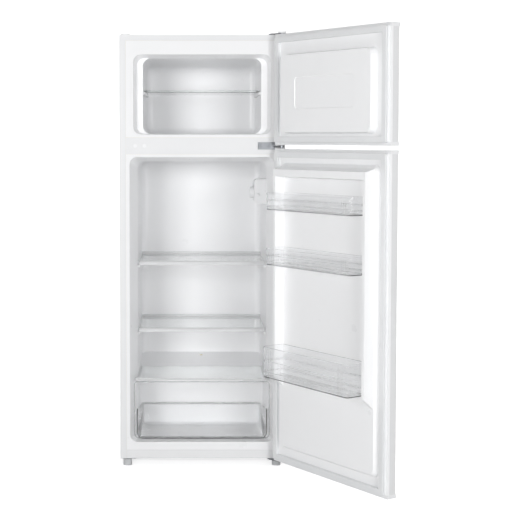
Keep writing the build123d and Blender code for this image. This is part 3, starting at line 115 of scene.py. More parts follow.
class RefrigeratorDrawer(bpy.types.PropertyGroup):
    """Trim of the crisper drawer and its cover."""

    bead: length("Bead", "Width of the bead round the drawer's front", 4.0)
    proud: length("Proud", "How far that bead stands out", 1.4)
    foot_corner: length("Lower corner", "Radius of the front's lower corners", 20.0)
    head_corner: length("Upper corner", "Radius of the front's upper corners", 12.0)
    rim: length("Rim", "Width of the flat rim round the tub", 9.0)
    rim_thick: length("Rim thickness", "Height of that rim", 2.4)
    edge: length("Cover edge", "Height of the bar on the cover's front edge", 6.0)
    clip: length("Clip", "Length of the clips at the bar's ends", 9.0)


class RefrigeratorKnob(bpy.types.PropertyGroup):
    """The thermostat's knob."""

    flutes: IntProperty(name="Flutes", description="Grips round the knob", default=18, min=3)
    flute: length("Flute depth", "How deep the grips are", 0.9)
    taper: length("Taper", "How much narrower the face is than the foot", 1.6)
    dish: length("Dish", "How far the face is sunk", 1.2)


class RefrigeratorStudio(bpy.types.PropertyGroup):
    """Camera and light."""

    distance: length("Distance", "From the cabinet's front to the camera", 4068.0)
    height: length("Height", "Height of the camera above the floor", 1096.0)
    aside: length("Aside", "From the cabinet's middle line to the camera, to the left", 33.0)
    lens: FloatProperty(name="Lens", description="Focal length in mm", default=86.4, min=1.0)
    pitch: FloatProperty(
        name="Pitch",
        description="How far the camera looks down",
        default=math.radians(3.2),
        subtype="ANGLE",
    )
    shift: FloatVectorProperty(
        name="Shift",
        description="Shift of the camera's view, in widths of the view",
        default=(0.127, -0.0992),
        size=2,
    )
    sky: FloatProperty(name="Sky", description="Strength of the even light", default=0.2, min=0.0)
    glow: FloatProperty(
        name="Glow", description="How bright the studio paper looks by itself", default=0.7
    )
    key: FloatProperty(
        name="Key", description="Watts of a lamp whose share is 1", default=62.0, min=0.0
    )


# ---- shapes ----
def outline(low, high, radii, inset, steps):
    """A rounded rectangle as points, pulled in all round.

    The radii go round from the low corner, and each corner has as many steps.
    """
    (x0, y0), (x1, y1) = (v + inset for v in low), (v - inset for v in high)
    corners = ((x0, y0, 180), (x1, y0, 270), (x1, y1, 0), (x0, y1, 90))
    points = []
    for (x, y, start), radius in zip(corners, radii):
        r = min(max(radius - inset, SMALLEST_CORNER), 0.45 * min(x1 - x0, y1 - y0))
        cx = x + r if x == x0 else x - r
        cy = y + r if y == y0 else y - r
        for n in range(steps + 1):
            angle = math.radians(start + 90 * n / steps)
            points.append((cx + r * math.cos(angle), cy + r * math.sin(angle)))
    return points


def skin(rings, ring_shaped=False):
    """A closed surface through rings of equally many points.

    It is capped at its ends, or ring-shaped and joined to itself.
    """
    shape = bmesh.new()
    made = [[shape.verts.new(point) for point in ring] for ring in rings]
    count = len(rings[0])
    pairs = list(zip(made, made[1:])) + ([(made[-1], made[0])] if ring_shaped else [])
    for a, b in pairs:
        for n in range(count):
            m = (n + 1) % count
            shape.faces.new((a[n], a[m], b[m], b[n]))
    if not ring_shaped:
        shape.faces.new(reversed(made[0]))
        shape.faces.new(made[-1])
    bmesh.ops.recalc_face_normals(shape, faces=shape.faces)
    mesh = bpy.data.meshes.new("shape")
    shape.to_mesh(mesh)
    shape.free()
    return mesh


def piece(name, mesh, material):
    """A new smooth-shaded object at the origin with its place in its mesh."""
    made = bpy.data.objects.new(name, mesh)
    bpy.context.scene.collection.objects.link(made)
    made.data.name = name
    made.data.materials.clear()
    made.data.materials.append(material)
    made.data.polygons.foreach_set("use_smooth", [True] * len(made.data.polygons))
    return made


def settled(made):
    """The piece with its modifiers worked into its mesh."""
    depsgraph = bpy.context.evaluated_depsgraph_get()
    mesh = bpy.data.meshes.new_from_object(made.evaluated_get(depsgraph))
    made.modifiers.clear()
    made.data = mesh
    return made


def softened(made, width, angle):
    """Rounds the edges sharper than an angle, with flat faces that stay flat to the light."""
    edge = made.modifiers.new("edges", "BEVEL")
    edge.width, edge.segments = width, BEVEL_STEPS
    edge.limit_method, edge.angle_limit = "ANGLE", math.radians(angle)
    level = made.modifiers.new("light", "WEIGHTED_NORMAL")
    level.keep_sharp = True
    return settled(made)


def cut(made, cutters):
    """Takes the cutters away from the piece and uses them up."""
    for cutter in cutters:
        step = made.modifiers.new("cut", "BOOLEAN")
        step.object, step.operation, step.solver = cutter, "DIFFERENCE", "EXACT"
    settled(made)
    for cutter in cutters:
        bpy.data.objects.remove(cutter)


def bar(name, low, high, material, radius):
    """A bar between two corners, rounded by a radius on all its edges."""
    flat = (low[:2], high[:2])
    arc = [math.radians(90 / BAR_STEPS * n) for n in range(BAR_STEPS + 1)]
    ends = [(radius * (1 - math.sin(a)), radius * (1 - math.cos(a))) for a in arc]
    levels = [(inset, low[2] + rise) for inset, rise in ends]
    levels += [(inset, high[2] - rise) for inset, rise in reversed(ends)]
    rings = []
    for inset, z in levels:
        ring = outline(*flat, [radius] * 4, inset, BAR_STEPS)
        rings.append([(x, y, z) for x, y in ring])
    made = piece(name, skin(rings), material)
    made.modifiers.new("light", "WEIGHTED_NORMAL").keep_sharp = True
    return settled(made)


# ---- repeats ----
def row_tree():
    """A Geometry Nodes tree: copies of one shape at equal steps along a line."""
    tree = bpy.data.node_groups.new("Row of shapes", "GeometryNodeTree")
    tree.interface.new_socket("Geometry", in_out="OUTPUT", socket_type="NodeSocketGeometry")
    inputs = {}
    for name, kind in (
        ("Shape", "NodeSocketObject"),
        ("Count", "NodeSocketInt"),
        ("Start", "NodeSocketVector"),
        ("Step", "NodeSocketVector"),
        ("Finish", "NodeSocketMaterial"),
    ):
        inputs[name] = tree.interface.new_socket(name, in_out="INPUT", socket_type=kind).identifier
    node = {
        key: tree.nodes.new(kind)
        for key, kind in (
            ("in", "NodeGroupInput"),
            ("line", "GeometryNodeMeshLine"),
            ("shape", "GeometryNodeObjectInfo"),
            ("copy", "GeometryNodeInstanceOnPoints"),
            ("real", "GeometryNodeRealizeInstances"),
            ("finish", "GeometryNodeSetMaterial"),
            ("out", "NodeGroupOutput"),
        )
    }
    for start, out, end, into in (
        ("in", "Shape", "shape", "Object"),
        ("in", "Count", "line", "Count"),
        ("in", "Start", "line", "Start Location"),
        ("in", "Step", "line", "Offset"),
        ("line", "Mesh", "copy", "Points"),
        ("shape", "Geometry", "copy", "Instance"),
        ("copy", "Instances", "real", "Geometry"),
        ("real", "Geometry", "finish", "Geometry"),
        ("in", "Finish", "finish", "Material"),
        ("finish", "Geometry", "out", "Geometry"),
    ):
        tree.links.new(node[start].outputs[out], node[end].inputs[into])
    return tree, inputs


def row(name, shape, count, start, step, material):
    """A plain mesh of equal shapes in a row. The first shape is used up."""
    tree, inputs = row_tree()
    made = piece(name, bpy.data.meshes.new(name), material)
    nodes = made.modifiers.new("row", "NODES")
    nodes.node_group = tree
    for key, value in (
        ("Shape", shape),
        ("Count", count),
        ("Start", start),
        ("Step", step),
        ("Finish", material),
    ):
        nodes[inputs[key]] = value
    settled(made)
    bpy.data.objects.remove(shape)
    return made


# ---- doors ----
def hinge_of(body):
    return next(joint for joint in JOINTS.values() if joint["child"] == body)


def swing(joint, closing):
    """The turn about a door's pin that closes it from rest, or opens it again."""
    angle = math.radians(joint["range_deg"][0]) * (1 if closing else -1)
    pin = Matrix.Translation(Vector(joint["pos_m"]))
    return pin @ Matrix.Rotation(angle, 4, Vector(joint["axis"])) @ pin.inverted()


def closed_points(node, door):
    """The points of a door's node as it lies with the door closed."""
    turn = swing(hinge_of(door), closing=True)
    return [turn @ vertex.co for vertex in frame["nodes"][node].data.vertices]


def corners_of(points):
    """The low and high corner of the points' box."""
    low = Vector([min(p[n] for p in points) for n in range(3)])
    high = Vector([max(p[n] for p in points) for n in range(3)])
    return low, high


def hang(made, door, body):
    """Swings a piece that was drawn on the closed door to rest, and lets it ride."""
    made.data.transform(swing(hinge_of(door), closing=False))
    made.data.update()
    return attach(made, body)


# ---- materials ----
class Finish:
    """A material whose surface varies over Object coordinates."""

    def __init__(self, name, base, roughness, metallic=0.0):
        self.material = bpy.data.materials.new(name)
        self.material.use_nodes = True
        self.tree = self.material.node_tree
        self.shader = self.tree.nodes["Principled BSDF"]
        self.base = base
        self.set("Base Color", (*base, 1.0))
        self.set("Roughness", roughness)
        self.set("Metallic", metallic)
        self.place = self.tree.nodes.new("ShaderNodeTexCoord").outputs["Object"]

    def set(self, socket, value):
        self.shader.inputs[socket].default_value = value

    def noise(self, scale, detail=3.0, stretch=None):
        """Cloudy noise. The scale is in waves per metre."""
        node = self.tree.nodes.new("ShaderNodeTexNoise")
        node.inputs["Scale"].default_value = scale
        node.inputs["Detail"].default_value = detail
        place = self.place
        if stretch:
            mapping = self.tree.nodes.new("ShaderNodeMapping")
            mapping.inputs["Scale"].default_value = stretch
            self.tree.links.new(place, mapping.inputs["Vector"])
            place = mapping.outputs["Vector"]
        self.tree.links.new(place, node.inputs["Vector"])
        return node.outputs["Fac"]

    def cells(self, scale):
        """Grains, as many to a metre as the scale says."""
        node = self.tree.nodes.new("ShaderNodeTexVoronoi")
        node.inputs["Scale"].default_value = scale
        self.tree.links.new(self.place, node.inputs["Vector"])
        return node.outputs["Distance"]

    def spread(self, factor, low, high, socket):
        """Drives a number of the shader between two values."""
        node = self.tree.nodes.new("ShaderNodeMapRange")
        node.inputs["To Min"].default_value = low
        node.inputs["To Max"].default_value = high
        self.tree.links.new(factor, node.inputs["Value"])
        self.tree.links.new(node.outputs["Result"], self.shader.inputs[socket])

    def tint(self, factor, darkest, lightest=1.0):
        """Varies the colour between two shares of itself."""
        node = self.tree.nodes.new("ShaderNodeMix")
        node.data_type = "RGBA"
        node.inputs["A"].default_value = (*(v * darkest for v in self.base), 1.0)
        node.inputs["B"].default_value = (*(min(v * lightest, 1.0) for v in self.base), 1.0)
        self.tree.links.new(factor, node.inputs["Factor"])
        self.tree.links.new(node.outputs["Result"], self.shader.inputs["Base Color"])

    def relief(self, factor, depth, strength):
        """Raises the surface by up to a depth in metres."""
        node = self.tree.nodes.new("ShaderNodeBump")
        node.inputs["Strength"].default_value = strength
        node.inputs["Distance"].default_value = depth
        self.tree.links.new(factor, node.inputs["Height"])
        self.tree.links.new(node.outputs["Normal"], self.shader.inputs["Normal"])

    def clear_shadow(self):
        """Lets light through to what lies behind, as a thin clear wall does."""
        held_back = 0.13
        node = self.tree.nodes.new("ShaderNodeLightPath")
        either = self.tree.nodes.new("ShaderNodeMath")
        either.operation = "MAXIMUM"
        self.tree.links.new(node.outputs["Is Shadow Ray"], either.inputs[0])
        self.tree.links.new(node.outputs["Is Diffuse Ray"], either.inputs[1])
        self.spread(either.outputs["Value"], 1.0, held_back, "Alpha")

    def see_through(self, facing, edge):
        """Clear face on and denser towards the edges, as clear walls are."""
        node = self.tree.nodes.new("ShaderNodeLayerWeight")
        node.inputs["Blend"].default_value = 0.3
        self.spread(node.outputs["Facing"], facing, edge, "Alpha")


def painted_steel(colours):
    """Powder coat with a faint orange peel."""
    made = Finish("painted_steel", colours.paint, 0.34)
    made.tint(made.noise(3.0), 0.985)
    made.spread(made.noise(40.0), 0.3, 0.38, "Roughness")
    made.relief(made.noise(420.0, 2.0), 0.03 * MM, 0.35)
    made.set("Coat Weight", 0.12)
    made.set("Coat Roughness", 0.12)
    return made


def formed_liner(colours):
    """Vacuum-formed sheet, satin with soft draw marks."""
    made = Finish("formed_liner", colours.liner, 0.3)
    made.tint(made.noise(4.0), 0.985)
    made.spread(made.noise(14.0, 4.0), 0.24, 0.36, "Roughness")
    made.relief(made.noise(900.0, 2.0), 0.012 * MM, 0.3)
    made.set("Specular IOR Level", 0.4)
    return made


def fronted_liner(colours):
    """The compartments' liner, with painted shade that darkens its front flange against the inside."""
    # Painted shade: the colour is darkened towards the front flange by the flange's place, mixed with a little
    # cloud.
    flange_shade, cloud_share = 0.885, 0.1
    made = formed_liner(colours)
    split = made.tree.nodes.new("ShaderNodeSeparateXYZ")
    depth = made.tree.nodes.new("ShaderNodeMapRange")
    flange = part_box("freezer_liner")[0].y
    depth.inputs["From Min"].default_value = flange + 0.5 * MM
    depth.inputs["From Max"].default_value = flange + 5.0 * MM
    depth.inputs["To Max"].default_value = 0.9
    blend = made.tree.nodes.new("ShaderNodeMath")
    blend.operation = "MULTIPLY_ADD"
    blend.inputs[1].default_value = cloud_share
    made.tree.links.new(made.place, split.inputs["Vector"])
    made.tree.links.new(split.outputs["Y"], depth.inputs["Value"])
    made.tree.links.new(made.noise(4.0), blend.inputs[0])
    made.tree.links.new(depth.outputs["Result"], blend.inputs[2])
    # Painted shade on the front flange, not a change in the plastic.
    made.tint(blend.outputs["Value"], flange_shade)
    return made


def white_moulding(colours):
    made = Finish("white_moulding", colours.plastic, 0.4)
    made.tint(made.noise(12.0), 0.98)
    made.relief(made.cells(1600.0), 0.015 * MM, 0.3)
    made.spread(made.noise(60.0), 0.36, 0.46, "Roughness")
    return made


def seal_vinyl(colours):
    """Soft white vinyl with a dull skin."""
    made = Finish("seal_vinyl", colours.seal, 0.6)
    made.tint(made.noise(25.0, 4.0), 0.95)
    made.relief(made.noise(1400.0, 2.0), 0.02 * MM, 0.4)
    made.set("Sheen Weight", 0.15)
    return made


def clear_moulding(colours):
    """Clear polystyrene, denser where the wall is seen edge on."""
    made = Finish("clear_moulding", colours.clear, 0.06)
    made.tint(made.noise(18.0), 0.99)
    made.spread(made.noise(30.0, 4.0), 0.06, 0.16, "Roughness")
    made.relief(made.noise(90.0, 3.0), 0.05 * MM, 0.25)
    made.set("Transmission Weight", 1.0)
    made.clear_shadow()
    made.set("IOR", 1.42)
    return made


def milky_moulding(colours):
    """Whitish translucent plastic of the shelf trims and edges."""
    made = Finish("milky_moulding", colours.plastic, 0.22)
    made.tint(made.noise(30.0), 0.985)
    made.spread(made.noise(60.0), 0.18, 0.28, "Roughness")
    made.see_through(0.62, 0.95)
    return made


def tinted_edge(colours):
    """Thick clear plastic, which looks darker along a bead."""
    made = Finish("tinted_edge", [0.8 * v for v in colours.clear], 0.12)
    made.tint(made.noise(30.0), 0.95)
    made.spread(made.noise(60.0), 0.08, 0.16, "Roughness")
    made.set("Transmission Weight", 0.9)
    made.set("IOR", 1.58)
    made.clear_shadow()
    return made


def shelf_glass(colours):
    made = Finish("shelf_glass", colours.glass, 0.04)
    made.tint(made.noise(8.0), 0.99)
    made.spread(made.noise(25.0, 4.0), 0.02, 0.07, "Roughness")
    made.set("Transmission Weight", 1.0)
    made.clear_shadow()
    made.set("IOR", 1.4)
    return made


def frosted_cover(colours):
    made = Finish("frosted_cover", colours.plastic, 0.5)
    made.tint(made.noise(40.0), 0.97)
    made.relief(made.cells(900.0), 0.03 * MM, 0.4)
    made.see_through(0.55, 0.9)
    return made


def zinc_plate(_):
    """Bright zinc with rolling marks and a few dull patches."""
    made = Finish("zinc_plate", (0.25, 0.26, 0.275), 0.35, 1.0)
    made.tint(made.noise(60.0, 5.0), 0.82)
    made.spread(made.noise(90.0, 4.0), 0.25, 0.45, "Roughness")
    made.relief(made.noise(200.0, 3.0, (1.0, 12.0, 12.0)), 0.02 * MM, 0.4)
    return made


def spangled_sheet(_):
    """Hot-dip galvanised sheet with its crystals."""
    made = Finish("spangled_sheet", (0.58, 0.6, 0.62), 0.42, 1.0)
    made.tint(made.cells(90.0), 0.78, 1.08)
    made.spread(made.cells(90.0), 0.34, 0.5, "Roughness")
    return made


def bare_aluminium(_):
    made = Finish("bare_aluminium", (0.8, 0.8, 0.81), 0.38, 1.0)
    made.tint(made.noise(30.0), 0.93)
    made.relief(made.noise(150.0, 3.0, (1.0, 1.0, 20.0)), 0.02 * MM, 0.4)
    return made


def copper_tube(_):
    """Drawn copper, browned here and there."""
    made = Finish("copper_tube", (0.72, 0.4, 0.26), 0.3, 1.0)
    made.tint(made.noise(45.0, 5.0), 0.6, 1.05)
    made.spread(made.noise(80.0), 0.22, 0.42, "Roughness")
    return made


def black_enamel(_):
    made = Finish("black_enamel", (0.025, 0.025, 0.028), 0.22)
    made.relief(made.noise(300.0, 2.0), 0.05 * MM, 0.4)
    made.spread(made.noise(30.0), 0.16, 0.32, "Roughness")
    made.set("Coat Weight", 0.4)
    return made


def black_moulding(_):
    made = Finish("black_moulding", (0.035, 0.035, 0.038), 0.5)
    made.relief(made.cells(1200.0), 0.04 * MM, 0.5)
    made.tint(made.noise(30.0), 0.8, 1.2)
    return made


def black_rubber(_):
    made = Finish("black_rubber", (0.028, 0.028, 0.028), 0.75)
    made.relief(made.noise(1500.0), 0.04 * MM, 0.5)
    made.tint(made.noise(60.0), 0.8, 1.3)
    return made


def grey_moulding(_):
    made = Finish("grey_moulding", (0.6, 0.61, 0.62), 0.5)
    made.relief(made.cells(1400.0), 0.03 * MM, 0.4)
    made.tint(made.noise(50.0), 0.93)
    return made


def foam(_):
    """Blown foam with open cells."""
    made = Finish("foam", (0.8, 0.72, 0.48), 0.9)
    made.relief(made.cells(500.0), 0.4 * MM, 0.8)
    made.tint(made.noise(80.0), 0.85, 1.05)
    return made


def lamp_glass(_):
    made = Finish("lamp_glass", (0.93, 0.92, 0.88), 0.25)
    made.tint(made.noise(120.0), 0.97)
    made.see_through(0.7, 0.95)
    return made


FINISHES = {
    "white_paint": painted_steel,
    "white_liner": formed_liner,
    "white_plastic": white_moulding,
    "gasket": seal_vinyl,
    "foam": foam,
    "zinc": zinc_plate,
    "galvanised": spangled_sheet,
    "aluminium": bare_aluminium,
    "copper": copper_tube,
    "black_enamel": black_enamel,
    "black_plastic": black_moulding,
    "black_rubber": black_rubber,
    "grey_plastic": grey_moulding,
    "clear_plastic": clear_moulding,
    "frosted_plastic": frosted_cover,
    "shelf_glass": shelf_glass,
    "milky_edge": milky_moulding,
    "fronted_liner": fronted_liner,
    "clear_edge": tinted_edge,
    "lamp": lamp_glass,
}

# Nodes whose finish isn't their slot's.
SPECIAL = {
    "upper_shelf_trims": "milky_edge",
    "lower_shelf_trims": "milky_edge",
    "fridge_liner": "fronted_liner",
    "freezer_liner": "fronted_liner",
}


def material_for(slot):
    """A finish, made when it is first asked for."""
    name = "finish_" + slot
    if name not in bpy.data.materials:
        made = FINISHES[slot](bpy.context.scene.refrigerator_colours).material
        made.name = name
    return bpy.data.materials[name]


# ---- operators ----
class REFRIGERATOR_OT_finishes(bpy.types.Operator):
    """Give every node of the frame its finish"""

    bl_idname = "refrigerator.finishes"
    bl_label = "Finishes"

    def execute(self, context):
        for name, node in frame["nodes"].items():
            node.data.materials.clear()
            node.data.materials.append(material_for(SPECIAL.get(name, SLOT_OF[name])))
        return {"FINISHED"}


class REFRIGERATOR_OT_seals(bpy.types.Operator):
    """Make the hollow seal round each door"""

    bl_idname = "refrigerator.seals"
    bl_label = "Door seals"

    def section(self, width, back, front, sizes):
        """The seal's section as (inset, depth) points: foot, bellows fold and magnetic bead."""
        deep, bead, fold = front - back, sizes.bead, sizes.fold
        foot, throat = back + 0.16 * deep, back + 0.26 * deep
        waist = back + 0.42 * deep
        shoulder = waist + 0.12 * deep
        return [
            (0.0, back),
            (0.3 * MM, foot),
            (fold, throat),
            (fold, waist),
            (0.4 * MM, shoulder),
            (0.0, front - bead),
            (0.4 * bead, front - 0.25 * bead),
            (1.2 * bead, front),
            (width - 1.2 * bead, front),
            (width - 0.4 * bead, front - 0.25 * bead),
            (width, front - bead),
            (width - 0.4 * MM, shoulder),
            (width - fold, waist),
            (width - fold, throat),
            (width - 0.3 * MM, foot),
            (width, back),
        ]

    def width(self, points, low, high):
        """The width of the node's frame, from the inner edges of its uprights."""
        x, z = (low.x + high.x) / 2, (low.z + high.z) / 2
        between_rails = (high.z - low.z) * 0.49
        inner = min(abs(p.x - x) for p in points if abs(p.z - z) < between_rails)
        return (high.x - low.x) / 2 - inner

    def execute(self, context):
        sizes = context.scene.refrigerator_seals
        for door in ("fridge_door", "freezer_door"):
            node = f"{door}_gasket"
            points = closed_points(node, door)
            low, high = corners_of(points)
            width = self.width(points, low, high)
            flat = ((low.x, low.z), (high.x, high.z))
            rings = []
            for inset, depth in self.section(width, low.y, high.y, sizes):
                ring = outline(*flat, [sizes.corner] * 4, inset, 4)
                rings.append([(x, depth, z) for x, z in ring])
            made = piece(f"{door}_seal", skin(rings, ring_shaped=True), material_for("gasket"))
            softened(made, 0.25 * MM, 30)
            hang(made, door, door)
            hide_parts(node)
        return {"FINISHED"}


class REFRIGERATOR_OT_racks(bpy.types.Operator):
    """Make the clear bins of the fridge door"""

    bl_idname = "refrigerator.racks"
    bl_label = "Door racks"

    def section(self, height, sizes):
        """The wall's section as (inset, height) points.

        It goes from the outer foot over two raised lines and the rim to the floor inside.
        """
        bead, inner = sizes.bead, sizes.bead + sizes.wall
        line, belt = 0.16 * height, 0.52 * height
        return [
            (bead + 1.6 * MM, 0.0),
            (bead + 0.5 * MM, 0.3 * MM),
            (bead, 1.6 * MM),
            (bead, line),
            (0.1 * bead, line + 1.0 * MM),
            (0.1 * bead, line + 3.0 * MM),
            (bead, line + 4.0 * MM),
            (bead, belt - 0.8 * MM),
            (0.1 * bead, belt),
            (0.1 * bead, belt + 3 * MM),
            (bead, belt + 3.8 * MM),
            (bead, height - 7.5 * MM),
            (0.3 * bead, height - 6 * MM),
            (0.0, height - 5 * MM),
            (0.0, height - 1.2 * MM),
            (0.8 * MM, height),
            (inner - 0.7 * MM, height),
            (inner, height - 0.8 * MM),
            (inner, sizes.floor + 2.5 * MM),
            (inner + 0.8 * MM, sizes.floor + 0.8 * MM),
            (inner + 2.5 * MM, sizes.floor),
        ]

    def slot_cutters(self, low, high, sizes):
        """What the lug slots in the two end walls take away."""
        y, top, below = low.y + sizes.lug_behind, low.z + sizes.lug_above, low.z - MM
        r, reach = sizes.lug_radius, sizes.bead + 2 * sizes.wall
        arc = [math.pi * n / 8 for n in range(9)]
        flat = [(y - r, below), (y + r, below)]
        flat += [(y + r * math.cos(a), top + r * math.sin(a)) for a in arc]
        cutters = []
        for x in (low.x, high.x):
            rings = [[(x + side * reach, *point) for point in flat] for side in (-1, 1)]
            cutters.append(piece("slot", skin(rings), material_for("clear_plastic")))
        return cutters

    def ribs(self, rack, low, high, sizes):
        """Upright ribs at each end of the front, inside the wall."""
        step, from_end, under_rim = 9 * MM, 24 * MM, 9 * MM
        y, clear = high.y - (sizes.bead + sizes.wall), material_for("clear_plastic")
        foot = (-0.6 * MM, -1.0 * MM, sizes.floor)
        head = (0.6 * MM, 0.2 * MM, high.z - low.z - under_rim)
        made = []
        for end, x, away in (("left", low.x + from_end, step), ("right", high.x - from_end, -step)):
            shape = bar("rib", foot, head, clear, 0.25 * MM)
            name = f"{rack}_ribs_{end}"
            made.append(row(name, shape, sizes.ribs, (x, y, low.z), (away, 0.0, 0.0), clear))
        return made

    def execute(self, context):
        sizes = context.scene.refrigerator_racks
        back = 3 * MM
        radii = (back, back, sizes.corner, sizes.corner)
        for rack in ("upper_rack", "middle_rack", "bottle_rack"):
            low, high = corners_of(closed_points(rack, "fridge_door"))
            rings = []
            for inset, height in self.section(high.z - low.z, sizes):
                ring = outline(low.xy, high.xy, radii, inset, 6)
                rings.append([(x, y, low.z + height) for x, y in ring])
            made = piece(f"{rack}_bin", skin(rings), material_for("clear_plastic"))
            cut(made, self.slot_cutters(low, high, sizes))
            softened(made, 0.3 * MM, 35)
            for part in [made, *self.ribs(rack, low, high, sizes)]:
                hang(part, "fridge_door", rack)
            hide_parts(rack)
        return {"FINISHED"}


class REFRIGERATOR_OT_drawer(bpy.types.Operator):
    """Make the drawer's bead and rim, and the front edge and clips of its cover"""

    bl_idname = "refrigerator.drawer"
    bl_label = "Crisper trim"

    def front_bead(self, sizes):
        """The rounded bead that runs round the drawer's front."""
        low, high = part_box("crisper_drawer")
        flat = ((low.x, low.z), (high.x, high.z))
        radii = (sizes.foot_corner, sizes.foot_corner, sizes.head_corner, sizes.head_corner)
        w, out, sunk = sizes.bead, sizes.proud, 0.2 * MM
        section = [
            (0.0, sunk),
            (0.0, -0.5 * out),
            (0.25 * w, -out),
            (0.75 * w, -out),
            (w, -0.4 * out),
            (w, sunk),
        ]
        rings = []
        for inset, depth in section:
            ring = outline(*flat, radii, inset, 8)
            rings.append([(x, low.y + depth, z) for x, z in ring])
        made = piece("drawer_front_bead", skin(rings, ring_shaped=True), material_for("clear_edge"))
        return softened(made, 0.3 * MM, 30)

    def tub_rim(self, sizes):
        """The flat rim round the tub, which slopes down to the back as the tub's walls do."""
        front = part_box("crisper_drawer")[0].y
        spots = [v.co for v in frame["nodes"]["crisper_drawer"].data.vertices]
        tub = [p for p in spots if p.y > front + 12 * MM]
        x0, x1 = min(p.x for p in tub), max(p.x for p in tub)
        y0, y1 = front + 3 * MM, max(p.y for p in tub)
        back = max(p.z for p in tub if p.y > y1 - 4 * MM)
        head = max(p.z for p in spots if front + 4 * MM < p.y < front + 30 * MM)
        slope = (back - head) / (y1 - y0)
        w, t = sizes.rim, sizes.rim_thick
        edge, above = 0.3 * t, 0.6 * MM
        section = [(0.0, -t), (0.0, -edge), (edge, 0.0), (w - edge, 0.0), (w, -edge), (w, -t)]
        radii = (3 * MM, 3 * MM, 16 * MM, 16 * MM)
        rings = []
        for inset, drop in section:
            ring = outline((x0, y0), (x1, y1), radii, inset, 6)
            rings.append([(x, y, head + slope * (y - y0) + drop + above) for x, y in ring])
        made = piece("drawer_tub_rim", skin(rings, ring_shaped=True), material_for("clear_edge"))
        return softened(made, 0.3 * MM, 30)

    def cover_edge(self, sizes):
        """The bar along the cover's front edge."""
        low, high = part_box("crisper_cover")
        half = 0.5 * (sizes.edge - (high.z - low.z))
        bar_low = (low.x + sizes.clip, low.y - 1.5 * MM, low.z - half)
        bar_high = (high.x - sizes.clip, low.y + 2.5 * MM, high.z + half)
        return bar("cover_front_edge", bar_low, bar_high, material_for("milky_edge"), 1.2 * MM)

    def cover_clips(self, sizes):
        """The clips that hold that bar at its ends."""
        low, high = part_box("crisper_cover")
        half = 0.5 * (sizes.edge - (high.z - low.z)) + 0.5 * MM
        made = []
        for side, x in (("left", low.x + 1.5 * MM), ("right", high.x - sizes.clip)):
            corner = (x, low.y - 2 * MM, low.z - half)
            far = (x + sizes.clip - 1.5 * MM, low.y + 9 * MM, high.z + half)
            grey = material_for("grey_plastic")
            made.append(bar(f"cover_clip_{side}", corner, far, grey, 1.2 * MM))
        return made

    def execute(self, context):
        sizes = context.scene.refrigerator_drawer
        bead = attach(self.front_bead(sizes), "crisper_drawer")
        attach(self.tub_rim(sizes), "crisper_drawer")
        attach(self.cover_edge(sizes), "crisper_cover")
        for clip in self.cover_clips(sizes):
            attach(clip, "crisper_cover")
        return {"FINISHED"}


class REFRIGERATOR_OT_knob(bpy.types.Operator):
    """Make the fluted knob of the thermostat"""

    bl_idname = "refrigerator.knob"
    bl_label = "Knob"

    def execute(self, context):
        sizes = context.scene.refrigerator_knob
        low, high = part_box("thermostat_knob")
        y, z = (low.y + high.y) / 2, (low.z + high.z) / 2
        radius, deep = min(high.y - low.y, high.z - low.z) / 2, high.x - low.x
        steps = sizes.flutes * 8
        face, floor = radius - sizes.taper, low.x + sizes.dish
        # Place along the spindle, radius, and share of the flutes' depth.
        section = [
            (high.x, radius, 0.0),
            (high.x - 0.18 * deep, radius, 0.0),
            (high.x - 0.24 * deep, radius - 1.2 * MM, 0.6),
            (low.x + 1.4 * MM, face, 1.0),
            (low.x + 0.4 * MM, face - 0.5 * MM, 0.7),
            (low.x, face - 1.6 * MM, 0.2),
            (low.x, face - 3.4 * MM, 0.0),
            (floor, face - 5.0 * MM, 0.0),
            (floor, 0.35 * radius, 0.0),
        ]
        rings = []
        for x, r, share in section:
            ring = []
            for n in range(steps):
                angle = 2 * math.pi * n / steps
                reach = r - share * sizes.flute * (0.5 - 0.5 * math.cos(angle * sizes.flutes))
                ring.append((x, y + reach * math.cos(angle), z + reach * math.sin(angle)))
            rings.append(ring)
        made = piece("knob_fluted", skin(rings), material_for("white_plastic"))
        softened(made, 0.2 * MM, 35)
        marker = bar(
            "knob_pointer",
            (low.x + 0.2 * MM, y - 0.9 * MM, z + 0.3 * radius),
            (floor + 0.4 * MM, y + 0.9 * MM, z + radius - sizes.taper - 5.2 * MM),
            material_for("grey_plastic"),
            0.3 * MM,
        )
        for part, kind in ((made, "white_plastic"), (marker, "grey_plastic")):
            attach(part, "thermostat_knob")
        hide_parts("thermostat_knob")
        return {"FINISHED"}


# Name, place, what it shines at, width in metres and share of the key's power.
LAMPS = (
    ("left", (-1.6, -4.8, 1.4), (0.3, 0.1, 0.75), 1.4, 1.68),
    ("right", (2.0, -4.8, 1.35), (0.3, 0.1, 0.75), 1.4, 1.2),
    ("top", (0.3, -0.8, 4.2), (0.3, 0.0, 0.0), 3.4, 0.2),
    ("side_right", (4.6, 0.6, 1.7), (0.4, 0.2, 0.7), 2.4, 0.4),
    ("side_left", (-4.2, 0.8, 1.7), (0.1, 0.2, 0.7), 2.4, 0.08),
    ("rear", (0.4, 4.6, 2.2), (0.25, 0.5, 0.7), 2.6, 1.0),
)
WHITE_LIGHT = (1.0, 1.0, 1.0, 1.0)
SENSOR_MM = 36.0


